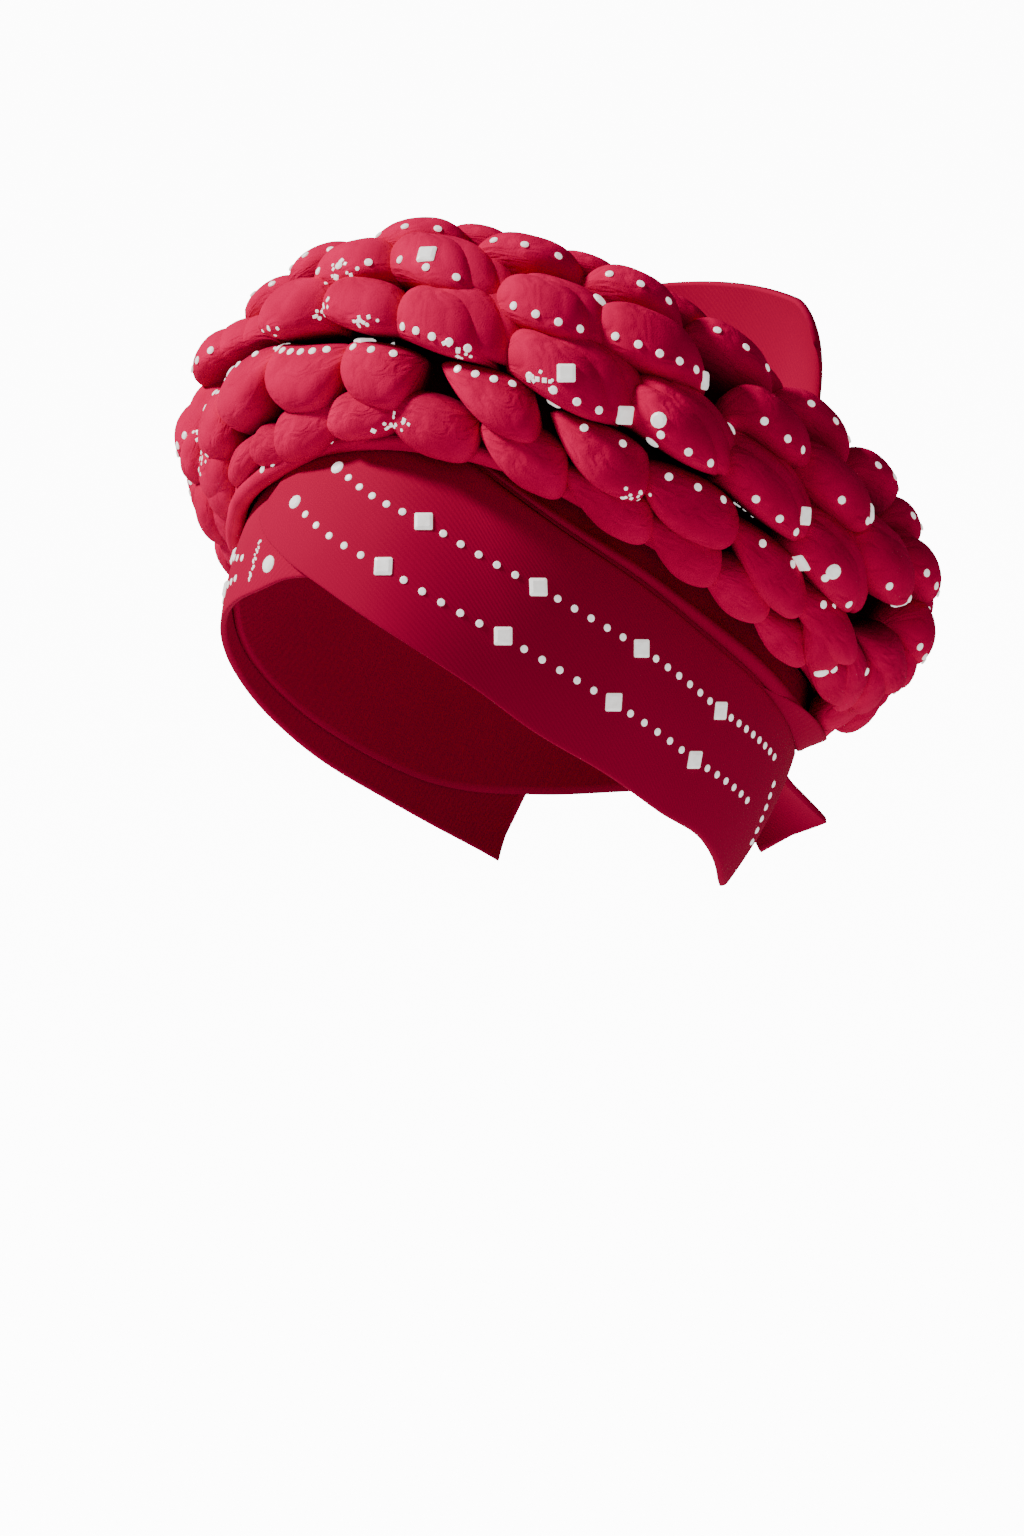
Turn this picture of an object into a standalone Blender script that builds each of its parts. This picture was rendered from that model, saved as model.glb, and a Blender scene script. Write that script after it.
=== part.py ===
"""A pleated turban: a ready-made head tie of crimson crepe, in the form it keeps when worn.

Metres, +Z up, the face towards -Y and the wearer's left towards +X. The origin is the inside top of the
fitted cap, where the crown of the head touches it.

Two round systems carry every shape. The head form is a pair of half ellipsoids, and cap, bands and side
wrap lie on it at named offsets. The crown ring has its own frame, tilted back so that it is high over the
wearer's left brow and low at the nape; its puffs are placed in it by turn (degrees round the ring, 0 at
the front, 90 at the wearer's left) and across (degrees round the ring's section, 0 outermost, 90 on top).
"""

import math

import bmesh
import bpy
import numpy as np
from mathutils import Matrix, Vector
from mathutils.bvhtree import BVHTree

# the head form, whose size is that of the hollow
HEAD_HALF_WIDTH = 0.078
HEAD_HALF_LENGTH = 0.098
HEAD_UPPER_HALF = 0.100
HEAD_LOWER_HALF = 0.108

# cloth and clearances
CAP_CLOTH = 0.0018
BAND_CLOTH = 0.0022
FAN_CLOTH = 0.0026
TAIL_CLOTH = 0.0022
GAP = 0.0005

# the crown ring
RING_BACK = 0.026
RING_DROP = 0.0575
RING_TILT = 38.0
RING_HIGH_SIDE = 16.0
RING_REACH = 0.122
RING_TOP = 0.040
RING_HEM = 0.040
RING_OUTER_HALF = 0.029
RING_INNER_HALF = 0.030
HEM_TUCK = 0.008
PIT_DEPTH = 0.016
PUFF_CREST = 0.28
SKIN = 0.0020

# where cloth lies under the crown, in degrees round the ring: the bands' crossing and the fan's foot
CROSSING_TURN = 12.0
CROSSING_FADE = 34.0
FAN_FADE = 42.0

# the bands and the side wrap
BAND_DROP = 0.178
WRAP_ROLL = 0.0060
WRAP_TUCK = 0.0068
WRAP_SEAM = 0.0014
WRAP_EDGE = 0.0012
WRAP_FOLD_AT = 0.42
WRAP_FOLD_WIDTH = 0.10
WRAP_FOLD_DEPTH = 0.45
TAIL_MIDDLE_TURN = 168.0
TAIL_FADE = 32.0

# the flaps
FAN_HALF_WIDTH = 0.0675
FAN_TOP = 0.003
FAN_INSIDE_RING = 0.018
FAN_BACK = RING_REACH - FAN_INSIDE_RING
FAN_HOLLOW = 0.014
FAN_CORNER = 0.012
FAN_FOOT_TURN = 36.0
FAN_FOOT_DROP = 0.088
FAN_FOOT_DIP = 0.006
TAIL_LIFT = 0.0245

# stones
SQUARE_STONE = 0.0056
SQUARE_THICK = 0.0020
ROUND_STONE = 0.0066
ROUND_THICK = 0.0022
STONE_GAP = 0.0005

# how far over a surface the rays start that seat the stones on it
RAY_START = 0.030

# The main square stones of the bands, in two rows on each.
BAND_SQUARES = [
    # side, turn, drop as a share of BAND_DROP
    ("left", 34, 0.213),
    ("left", 57, 0.353),
    ("left", 78, 0.497),
    ("left", 98, 0.650),
    ("left", 26, 0.275),
    ("left", 48, 0.422),
    ("left", 69, 0.576),
    ("left", 89, 0.722),
    ("right", -34, 0.285),
    ("right", -57, 0.440),
    ("right", -78, 0.575),
    ("right", -98, 0.700),
    ("right", -27, 0.330),
    ("right", -48, 0.475),
    ("right", -69, 0.635),
    ("right", -89, 0.765),
]

BAND_ROUNDS = [
    # name, side, turn, drop, size as a share of ROUND_STONE
    ("tip_upper", "left", 10, 0.115, 0.65),
    ("tip_lower", "left", 1, 0.165, 0.70),
    ("right_first", "right", -3.5, 0.266, 0.85),
]

# The main stones of the crown, at their places in the ring's frame.
CROWN_STONES = [
    # shape, turn, across, size as a share of the stone's own
    ("square", 25, 28, 1.0),
    ("square", 15, -17, 1.0),
    ("square", 49, -15, 1.0),
    ("square", 57, -28, 1.0),
    ("square", 70, 26, 1.0),
    ("square", 94, -21, 1.0),
    ("square", 97, -43, 1.0),
    ("round", 7, 0, 0.85),
    ("round", -16, -5, 0.85),
    ("round", 52, 40, 0.80),
    ("round", 64, -17, 0.75),
    ("round", 65, -28, 0.70),
    ("round", 78, 15, 0.75),
    ("round", 106, 11, 0.95),
    ("round", 126, -13, 0.90),
    ("round", 101, -31, 0.75),
    ("round", 118, -70, 0.70),
    ("round", -28, -24, 0.80),
    ("round", 48, -34, 0.75),
]

# grid counts
CROWN_TURNS = 100
CROWN_OUTER = 22
CROWN_INNER = 5
CAP_TURNS = 36
CAP_RINGS = 10

# The ring's section at each turn: outermost radius, height of the top, how low the puffs hang and how low
# the crown is sewn down, each a share of RING_REACH, RING_TOP and RING_HEM.
RING_SECTIONS = [
    # turn, reach, top, hang, foot
    (-180, 1.06, 0.82, 1.02, 0.84),
    (-135, 1.01, 0.88, 1.02, 0.90),
    (-90, 0.97, 1.02, 0.94, 0.86),
    (-45, 1.00, 1.12, 0.86, 0.79),
    (-20, 1.01, 1.10, 0.81, 0.72),
    (0, 1.02, 1.17, 0.73, 0.62),
    (20, 1.01, 1.28, 0.68, 0.56),
    (40, 0.99, 1.18, 0.79, 0.62),
    (60, 0.97, 1.08, 0.98, 0.78),
    (80, 0.96, 0.86, 1.12, 0.88),
    (100, 0.96, 0.70, 1.23, 0.95),
    (120, 0.99, 0.66, 1.27, 0.99),
    (150, 1.04, 0.76, 1.16, 0.94),
]

# The puffs on the side that shows. A dome rises above its lip, a belly hangs below it. Turn and across
# place the middle of the lip, lean turns the lip and skew turns the body, in degrees, sag is how far the
# middle of the lip hangs below its ends, and swell is how far the puff stands out of the pits, as a share
# of PIT_DEPTH.
PUFFS = [
    # kind, turn, across, width mm, body mm, lean, skew, sag mm, swell
    ("dome", -1, -2, 35, 20, -17, 28, 7, 0.90),
    ("dome", 11, 17, 36, 22, -4, -11, 8, 0.95),
    ("dome", 26, 13, 38, 28, -12, -17, 8, 1.00),
    ("dome", 45, 3, 33, 21, -2, -13, 7, 1.00),
    ("dome", 62, 7, 42, 24, 5, -13, 7, 1.00),
    ("dome", 85, 5, 31, 24, 0, -14, 7, 0.95),
    ("dome", 102, -3, 35, 26, 2, -22, 8, 0.95),
    ("dome", 119, -18, 38, 27, 10, -30, 8, 1.00),
    ("dome", 15, -9, 38, 23, -16, 0, 6, 0.95),
    ("dome", 29, -18, 35, 26, -8, -6, 4, 1.05),
    ("dome", 50, -27, 38, 26, -5, -18, 6, 1.05),
    ("dome", 70, -25, 33, 23, 0, -30, 5, 1.05),
    ("dome", 88, -28, 34, 23, -2, -34, 4, 1.05),
    ("dome", 105, -38, 37, 22, -5, -23, 3, 1.00),
    ("belly", -25, -8, 28, 28, 22, 32, 1, 0.95),
    ("belly", -11, -1, 34, 25, 0, 6, 3, 1.00),
    ("belly", 4, -9, 36, 24, -14, 0, 4, 1.00),
    ("belly", 18, -15, 29, 23, -10, 4, 1, 1.00),
    ("belly", 36, -20, 31, 25, 0, 32, 1, 1.05),
    ("belly", 56, -27, 33, 23, 3, 24, 0, 1.05),
    ("belly", 73, -28, 38, 22, 8, 21, -2, 1.05),
    ("belly", 91, -33, 36, 25, 3, 38, -1, 1.05),
    ("belly", 104, -40, 28, 34, 24, 68, -1, 0.95),
    ("belly", 131, -25, 30, 30, 32, 68, 0, 0.95),
    ("belly", -30, -72, 32, 23, -22, -42, 0, 0.80),
    ("belly", -27, -41, 29, 21, -6, -12, 1, 0.90),
    ("belly", -16, -63, 30, 19, -6, -40, 0, 0.80),
    ("belly", -11, -45, 28, 18, 0, -42, 1, 0.85),
    ("belly", -3, -48, 22, 16, -30, -40, 0, 0.80),
    ("belly", 4, -40, 31, 23, -3, -20, -2, 0.90),
    ("belly", 15, -38, 30, 19, 4, 0, -3, 0.90),
    ("belly", 27, -41, 32, 26, -2, 10, -2, 0.95),
    ("belly", 43, -45, 29, 26, 7, 22, -2, 0.95),
    ("belly", 59, -54, 31, 22, 7, 32, -1, 0.95),
    ("belly", 74, -56, 28, 24, 22, 40, 0, 0.95),
    ("belly", 86, -62, 27, 23, 32, 58, 0, 0.90),
    ("belly", 102, -69, 30, 22, 14, 62, 0, 0.85),
    ("belly", 120, -64, 30, 29, 26, 72, 0, 0.90),
]

# The same pattern where it doesn't show, and over the top: each row runs from one turn to another.
PUFF_ROWS = [
    # kind, first turn, last turn, count, across, width mm, body mm, lean, skew, sag mm, swell
    ("dome", 136, 332, 12, 6, 37, 25, 0, -6, 7, 0.95),
    ("dome", 145, 323, 11, -22, 37, 24, 0, -8, 5, 1.00),
    ("belly", 145, 323, 11, 0, 33, 23, 0, 0, 2, 0.90),
    ("belly", 137, 333, 12, -28, 34, 25, 0, 10, 0, 1.05),
    ("belly", 146, 324, 11, -56, 34, 24, 0, 10, 0, 0.90),
    ("dome", 18, 358, 18, 44, 38, 24, 0, 0, 6, 1.00),
    ("dome", 28, 368, 18, 72, 36, 23, 0, 0, 5, 0.90),
    ("dome", 18, 358, 18, 102, 30, 20, 0, 0, 4, 0.75),
]

# The left band's cross lines, from its rounded tip over the brow to its end behind the ear. Turns are
# degrees round the head and drops are shares of BAND_DROP below the top of the head.
LEFT_BAND_SECTIONS = [
    # lower turn, lower drop, upper turn, upper drop
    (-11.5, 0.190, -10.5, 0.165),
    (-6, 0.215, -6, 0.110),
    (3, 0.250, 4, 0.088),
    (15, 0.305, 16, 0.078),
    (28, 0.388, 29, 0.088),
    (40, 0.485, 42, 0.120),
    (52, 0.596, 55, 0.200),
    (65, 0.691, 68, 0.293),
    (79, 0.792, 82, 0.396),
    (92, 0.860, 97, 0.522),
    (103, 0.930, 113, 0.640),
    (110, 0.975, 127, 0.738),
    (115, 0.998, 139, 0.812),
]

RIGHT_BAND_SECTIONS = [
    # lower turn, lower drop, upper turn, upper drop
    (12, 0.282, 13, 0.140),
    (3, 0.286, 4, 0.112),
    (-5, 0.306, -6, 0.118),
    (-17, 0.340, -18, 0.140),
    (-30, 0.400, -32, 0.200),
    (-44, 0.500, -47, 0.300),
    (-58, 0.620, -62, 0.400),
    (-72, 0.735, -78, 0.500),
    (-87, 0.835, -94, 0.600),
    (-100, 0.915, -110, 0.695),
    (-115, 0.995, -139, 0.800),
]

# Where the side wrap's lower edge lies at the nape, between the ends of the two bands.
NAPE_EDGE = [
    # turn, drop
    (150, 0.835),
    (165, 0.850),
    (180, 0.855),
    (195, 0.845),
    (210, 0.820),
]

# The side wrap stands on the bands' upper edge and runs round the nape from side to side.
WRAP_SECTIONS = [
    # turn, height as a share of BAND_DROP, roll as a share of WRAP_ROLL
    (44, 0.030, 0.25),
    (53, 0.046, 0.45),
    (62, 0.066, 0.60),
    (75, 0.092, 0.75),
    (86, 0.112, 0.85),
    (98, 0.130, 0.95),
    (112, 0.130, 0.95),
    (127, 0.125, 0.90),
    (145, 0.120, 0.90),
    (165, 0.080, 1.00),
    (180, 0.072, 1.00),
    (200, 0.080, 1.00),
    (221, 0.110, 1.00),
    (250, 0.080, 0.80),
    (272, 0.050, 0.50),
]

# The tail's cross lines, from where it is tucked in down to its point.
TAIL_SECTIONS = [
    # left turn, right turn, left drop, right drop, left lift, right lift as shares of TAIL_LIFT
    (146, 190, 0.780, 0.780, 0.00, 0.00),
    (152, 188, 0.850, 0.855, 0.00, 0.00),
    (155, 186, 0.885, 0.900, 0.15, 0.10),
    (158, 181, 0.930, 0.960, 0.50, 0.32),
    (162, 172, 0.989, 1.045, 1.00, 0.62),
]

CAP_HEM = [
    # turn, drop as a share of BAND_DROP
    (0, 0.215),
    (25, 0.300),
    (50, 0.500),
    (75, 0.690),
    (100, 0.830),
    (130, 0.900),
    (155, 0.920),
    (180, 0.920),
]


def ease(share):
    """0 below 0, 1 above 1 and a smooth step between."""
    share = np.clip(share, 0.0, 1.0)
    return share * share * (3 - 2 * share)


def head_centre():
    return np.array([0.0, 0.0, -HEAD_UPPER_HALF])


def on_head(turn, drop, offset):
    """Points of the head form grown by offset, at a turn in degrees and a drop below the top."""
    turn = np.radians(np.asarray(turn, float))
    z = -np.asarray(drop, float)
    half = np.where(z > -HEAD_UPPER_HALF, HEAD_UPPER_HALF, HEAD_LOWER_HALF) + offset
    level = np.sqrt(np.maximum(1.0 - ((z + HEAD_UPPER_HALF) / half) ** 2, 0.0))
    across = np.sin(turn) / (HEAD_HALF_WIDTH + offset)
    along = np.cos(turn) / (HEAD_HALF_LENGTH + offset)
    radius = level / np.sqrt(across**2 + along**2)
    x, y, z = np.broadcast_arrays(radius * np.sin(turn), -radius * np.cos(turn), z)
    return np.stack([x, y, z], axis=-1)


def smooth_table(rows, closed_turn=None):
    """A function of the table's first column that passes smoothly through its other columns.

    It is a cubic through the rows with the slope at each row taken from its two neighbours.
    """
    rows = np.array(rows, float)
    if closed_turn:
        before = rows[-2:] - np.eye(rows.shape[1])[0] * closed_turn
        after = rows[:2] + np.eye(rows.shape[1])[0] * closed_turn
        rows = np.vstack([before, rows, after])
    place, values = rows[:, 0], rows[:, 1:]
    slope = np.gradient(values, place, axis=0)

    def read(at):
        at = np.asarray(at, float)
        if closed_turn:
            at = (at - place[2]) % closed_turn + place[2]
        left = np.clip(np.searchsorted(place, at, side="right") - 1, 0, len(place) - 2)
        step = (place[left + 1] - place[left])[..., None]
        share = ((at - place[left])[..., None]) / step
        rise = values[left + 1] - values[left]
        first, last = slope[left] * step, slope[left + 1] * step
        bend = share * (1 - share)
        return values[left] + rise * share**2 * (3 - 2 * share) + bend * ((1 - share) * first - share * last)

    return read


def ring_frame():
    """The ring's centre and its three axes as columns: to the wearer's left, back, and up through the ring."""
    tilt, high = math.radians(RING_TILT), math.radians(RING_HIGH_SIDE)
    towards_high = np.array([math.sin(high), -math.cos(high), 0.0])
    level = np.array([0.0, 0.0, 1.0])
    up = math.cos(tilt) * level - math.sin(tilt) * towards_high
    pivot = np.cross(level, towards_high)
    tilted = math.cos(tilt) * towards_high + math.sin(tilt) * level
    left = math.sin(high) * tilted + math.cos(high) * pivot
    back = np.cross(up, left)
    return np.array([0.0, RING_BACK, -RING_DROP]), np.stack([left, back, up], axis=1)


RING_CENTRE, RING_AXES = ring_frame()


def from_ring(turn, radius, height):
    turn = np.radians(turn)
    local = np.stack(np.broadcast_arrays(radius * np.sin(turn), -radius * np.cos(turn), height), axis=-1)
    return RING_CENTRE + local @ RING_AXES.T


def to_ring(points):
    """Turn, radius and height in the ring's frame of points in the object's frame."""
    local = (points - RING_CENTRE) @ RING_AXES
    turn = np.degrees(np.arctan2(local[..., 0], -local[..., 1]))
    return turn, np.hypot(local[..., 0], local[..., 1]), local[..., 2]


def wall_radius(turn, height, offset):
    """How far out the grown head form reaches, seen from the ring's axis at a turn and height."""
    start = RING_CENTRE + np.asarray(height)[..., None] * RING_AXES[:, 2] - head_centre()
    turn = np.radians(turn)
    way = np.sin(turn)[..., None] * RING_AXES[:, 0] - np.cos(turn)[..., None] * RING_AXES[:, 1]
    offset = np.broadcast_to(offset, np.shape(height))
    found = []
    for half_height in (HEAD_UPPER_HALF, HEAD_LOWER_HALF):
        halves = np.stack(
            [HEAD_HALF_WIDTH + offset, HEAD_HALF_LENGTH + offset, half_height + offset], axis=-1
        )
        from_, along = start / halves, way / halves
        a, b = (along**2).sum(-1), (along * from_).sum(-1)
        c = (from_**2).sum(-1) - 1
        inside = b * b - a * c
        found.append(np.where(inside > 0, (-b + np.sqrt(np.maximum(inside, 0))) / a, 0.0))
    upper, lower = found
    lands_above = (start + upper[..., None] * way)[..., 2] >= 0
    return np.maximum(np.where(lands_above, upper, lower), 0.0)


def under_crown(turn, height_over_foot):
    """Offset of the crown's inner wall: over what is tucked in near its foot, down on the cap above.

    The two bands lie over each other at the front, and the fan stands between cap and crown at the back.
    """
    turn = np.asarray(turn)
    crossing = ease(1.7 - np.abs((turn - CROSSING_TURN + 180) % 360 - 180) / CROSSING_FADE)
    behind = ease(1.8 - np.abs(turn % 360 - 180) / FAN_FADE)
    near_foot = CAP_CLOTH + BAND_CLOTH + 3 * GAP + (BAND_CLOTH + GAP) * crossing
    near_foot = np.maximum(near_foot, WRAP_TUCK)
    above = CAP_CLOTH + GAP + (FAN_CLOTH + 2 * GAP) * behind
    share = ease((height_over_foot - HEM_TUCK * 1.5) / (HEM_TUCK * 1.5))
    return near_foot + (above - near_foot) * share


def ring_section(turn):
    """Core radius, middle height, half height and the height of the foot of the section at each turn."""
    shares = smooth_table(RING_SECTIONS, closed_turn=360)(turn)
    reach = shares[..., 0] * RING_REACH
    top = shares[..., 1] * RING_TOP
    hang = -shares[..., 2] * RING_HEM
    foot = -shares[..., 3] * RING_HEM
    return reach - RING_OUTER_HALF, (top + hang) / 2, (top - hang) / 2, foot


def all_puffs():
    """Every puff, those of the table and those of the rows, as a list of tuples without the count."""
    puffs = list(PUFFS)
    for kind, first, last, count, *rest in PUFF_ROWS:
        for turn in np.linspace(first, last, count):
            puffs.append((kind, float(turn), *rest))
    return puffs


def puff_swell(turn, across):
    """How far the puffs stand over the pit floor, from 0, at each turn and across.

    A puff is half of an ellipsoid cut at its lip: full height near the lip, falling to nothing along a
    half oval round its body. Its lip is a parabola that hangs sag below its ends. Where puffs meet, the
    higher one shows.
    """
    swell = np.zeros(np.broadcast(turn, across).shape)
    for kind, at_turn, at_across, width, body, lean, skew, sag, rise in all_puffs():
        core, _, half_height, _ = ring_section(np.array(float(at_turn)))
        at = math.radians(at_across)
        radius = float(core) + RING_OUTER_HALF * math.cos(at)
        girth = math.hypot(RING_OUTER_HALF * math.sin(at), float(half_height) * math.cos(at))
        along = np.radians((turn - at_turn + 180) % 360 - 180) * radius
        up = np.radians(across - at_across) * girth
        side = 1.0 if kind == "dome" else -1.0
        lip = np.array([math.cos(math.radians(lean)), math.sin(math.radians(lean))])
        hang = side * np.array([side * math.sin(math.radians(skew)), math.cos(math.radians(skew))])
        facing = lip[0] * hang[1] - lip[1] * hang[0]
        u = (along * hang[1] - up * hang[0]) / facing / (width / 1000 / 2)
        v = (up * lip[0] - along * lip[1]) / facing / (body / 1000) - side * (sag / body) * u**2
        falling = np.clip((v - PUFF_CREST) / (1 - PUFF_CREST), 0, 1)
        lip_side = 1 - 0.35 * ((PUFF_CREST - v) / PUFF_CREST) ** 2
        shape = np.where(v > PUFF_CREST, 1 - falling**2, lip_side)
        oval = np.maximum(shape - u * u, 0.0)
        height = np.where((v > -0.02) & (v < 1), np.sqrt(oval), 0.0)
        swell = np.maximum(swell, height * rise)
    return swell


def new_object(name, vertices, faces, material, smooth=True):
    mesh = bpy.data.meshes.new(name)
    mesh.from_pydata([tuple(map(float, v)) for v in vertices], [], [tuple(map(int, f)) for f in faces])
    mesh.update()
    thing = bpy.data.objects.new(name, mesh)
    thing.data.materials.append(material)
    COLLECTION.objects.link(thing)
    if smooth:
        mesh.shade_smooth()
    return thing


def grid_faces(rows, columns, close_rows=False, close_columns=False):
    """Quads of a rows x columns grid of points, wrapped round where asked."""
    r = np.arange(rows if close_rows else rows - 1)
    c = np.arange(columns if close_columns else columns - 1)
    r, c = np.meshgrid(r, c, indexing="ij")
    r, c = r.ravel(), c.ravel()
    nr, nc = (r + 1) % rows, (c + 1) % columns
    return np.stack([r * columns + c, r * columns + nc, nr * columns + nc, nr * columns + c], axis=1)


def add_wall(thing, thickness):
    """Gives an open sheet its cloth thickness, outwards from the head."""
    wall = thing.modifiers.new("cloth", "SOLIDIFY")
    wall.thickness = thickness
    wall.offset = 1.0


def inner_cap(material):
    turns, rings = CAP_TURNS, CAP_RINGS
    turn = np.arange(turns) * 360.0 / turns
    folded = np.abs((turn + 180) % 360 - 180)
    hem = smooth_table(CAP_HEM)(folded)[:, 0] * BAND_DROP
    # equal steps of the polar angle from the top of the head to the hem
    below = hem > HEAD_UPPER_HALF
    deep = np.where(below, HEAD_LOWER_HALF, HEAD_UPPER_HALF)
    hem_angle = np.arccos(np.clip((HEAD_UPPER_HALF - hem) / deep, -1, 1))
    points = [[0.0, 0.0, 0.0]]
    for ring in range(1, rings + 1):
        angle = hem_angle * ring / rings
        half = np.where(angle > math.pi / 2, HEAD_LOWER_HALF, HEAD_UPPER_HALF)
        drop = HEAD_UPPER_HALF - half * np.cos(angle)
        points.extend(on_head(turn, drop, 0.0))
    faces = [(0, 1 + i, 1 + (i + 1) % turns) for i in range(turns)]
    sides = grid_faces(rings, turns, close_columns=True)[:, ::-1] + 1
    cap = new_object("inner_cap", points, list(map(tuple, faces)) + [tuple(f) for f in sides], material)
    add_wall(cap, CAP_CLOTH)
    return cap


def band(name, rows, offset, material, steps, across_steps, leftwards):
    """A wide band: cross lines from the table, joined smoothly, laid on the head form at an offset."""
    rows = np.array(rows, float)
    table = np.column_stack([np.linspace(0, 1, len(rows)), rows])
    read = smooth_table(table)
    along = np.linspace(0, 1, steps)
    lines = read(along)
    share = np.linspace(0, 1, across_steps)
    turn = lines[:, 0:1] + (lines[:, 2:3] - lines[:, 0:1]) * share
    drop = (lines[:, 1:2] + (lines[:, 3:4] - lines[:, 1:2]) * share) * BAND_DROP
    points = on_head(turn, drop, offset(along)[:, None])
    faces = grid_faces(steps, across_steps)
    if leftwards:
        faces = faces[:, ::-1]
    strip = new_object(name, points.reshape(-1, 3), faces, material)
    add_wall(strip, BAND_CLOTH)
    return strip


def band_edge(turn):
    """Drop, in metres, of the line that the side wrap stands on, at turns from 44 to 275."""
    left = [(row[2], row[3]) for row in LEFT_BAND_SECTIONS if row[2] > 40]
    right = [(row[2] + 360, row[3]) for row in RIGHT_BAND_SECTIONS if row[2] < -70]
    return smooth_table(left + NAPE_EDGE + right[::-1])(turn)[..., 0] * BAND_DROP


def side_wrap(material):
    """A soft roll of two folds: a closed loop of points at each section, capped at both ends."""
    steps = 34
    turn = np.linspace(WRAP_SECTIONS[0][0], WRAP_SECTIONS[-1][0], steps)
    shares = smooth_table(WRAP_SECTIONS)(turn)
    low = band_edge(turn) - WRAP_SEAM
    high = low - shares[:, 0] * BAND_DROP
    roll = shares[:, 1:2] * WRAP_ROLL
    over_tail = ease(1.6 - np.abs(turn - TAIL_MIDDLE_TURN) / TAIL_FADE)
    inner = (CAP_CLOTH + GAP + (TAIL_CLOTH + GAP) * over_tail)[:, None]
    share = np.array([0.0, 0.07, 0.18, 0.30, 0.40, 0.48, 0.58, 0.68, 0.80, 1.0])
    drop = low[:, None] + (high - low)[:, None] * share

    # the rolls stand out only below the lowest reach of the puffs, and thin cloth goes on under the crown
    ring_turn, _, ring_height = to_ring(on_head(turn[:, None], drop, inner))
    _, middle, half_height, _ = ring_section(ring_turn)
    hang = middle - half_height - WRAP_SEAM
    room = np.maximum((hang - ring_height) / (hang - ring_height)[:, :1], 0.0)
    crease = WRAP_FOLD_DEPTH * np.exp(-(((room - WRAP_FOLD_AT) / WRAP_FOLD_WIDTH) ** 2))
    two_folds = np.sqrt(np.clip(room * (1.0 - room) * 4, 0, 1)) * (1 - crease)
    outer = inner + WRAP_EDGE + roll * two_folds
    outside = on_head(turn[:, None], drop, outer)
    back = share[::-2]
    inside = on_head(turn[:, None], low[:, None] + (high - low)[:, None] * back, inner)
    loop = np.concatenate([outside, inside], axis=1)
    count = loop.shape[1]
    faces = [tuple(f) for f in grid_faces(steps, count, close_columns=True)[:, ::-1]]
    faces.append(tuple(range(count)))
    faces.append(tuple(range((steps - 1) * count, steps * count))[::-1])
    return new_object("side_wrap", loop.reshape(-1, 3), faces, material)


def crown_points():
    """The crown as a closed ring: an outer half with its puffs, and an inner half lying on the cap."""
    turn = np.arange(CROWN_TURNS)[:, None] * 360.0 / CROWN_TURNS
    core, middle, half_height, foot = (part[:, None] for part in ring_section(turn[:, 0]))

    # the across angle at which the pit floor meets the wall under the ring
    foot_wall = wall_radius(turn, foot, under_crown(turn, 0.0 * turn))
    start = -np.degrees(np.arccos(np.clip((foot_wall - core) / (RING_OUTER_HALF - PIT_DEPTH), -0.35, 0.9)))

    outer = start + (90 - start) * np.linspace(0, 1, CROWN_OUTER)
    inner_share = np.concatenate([[0.06, 0.12, 0.20, 0.30], np.linspace(0.44, 0.90, CROWN_INNER - 1)])
    inner = 90 + (90 - start) * inner_share
    across = np.concatenate([outer, inner], axis=1)

    stand = puff_swell(turn, across)
    stand = stand * ease((140 - across) / 25)
    sine, cosine = np.sin(np.radians(across)), np.cos(np.radians(across))
    half = np.where(cosine > 0, RING_OUTER_HALF, RING_INNER_HALF)
    radius = core + (half - (1 - stand) * PIT_DEPTH) * cosine
    floor = np.where(sine < 0, (middle - foot) / np.sin(np.radians(-start)), half_height - PIT_DEPTH)
    height = middle + (floor + (half_height - floor) * stand) * sine

    wall = wall_radius(turn, height, under_crown(turn, height - foot))
    lining = across > 90
    radius = np.where(lining, np.maximum(radius, wall), np.maximum(radius, wall + SKIN))
    return turn, radius, height, foot, foot_wall


def puff_crown(material):
    turn, radius, height, foot, foot_wall = crown_points()
    radius = np.concatenate([radius, foot_wall], axis=1)
    height = np.concatenate([height, foot], axis=1)
    points = from_ring(turn, radius, height)
    faces = grid_faces(CROWN_TURNS, points.shape[1], close_rows=True, close_columns=True)[:, ::-1]
    return new_object("puff_crown", points.reshape(-1, 3), faces, material)


def back_fan(material):
    """A smooth flap: its foot lies on the cap under the crown's back rim, and it rises upright from there."""
    even = np.linspace(-1, 1, 19)[:, None]
    across = np.sign(even) * (1 - (1 - np.abs(even)) ** 1.6)
    up = np.linspace(0, 1, 9)[None, :]
    into_corner = np.clip(1 - (1 - np.abs(across)) * FAN_HALF_WIDTH / FAN_CORNER, 0, 1)
    round_off = FAN_CORNER * (1 - np.sqrt(1 - into_corner**2))
    foot_drop = FAN_FOOT_DROP + FAN_FOOT_DIP * across**2
    foot = on_head(180 - across * FAN_FOOT_TURN, foot_drop, CAP_CLOTH + GAP)
    brim = np.stack([across * FAN_HALF_WIDTH, FAN_BACK - FAN_HOLLOW * across**2, 0 * across], axis=-1)
    spread = ease(up)[..., None]
    flat = foot * (1 - spread) + brim * spread
    height = (FAN_TOP + FAN_FOOT_DROP - round_off) * up
    points = np.stack([flat[..., 0], flat[..., 1], foot[..., 2] + height], axis=-1)
    fan = new_object("back_fan", points.reshape(-1, 3), grid_faces(19, 9), material)
    add_wall(fan, FAN_CLOTH)
    return fan


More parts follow.
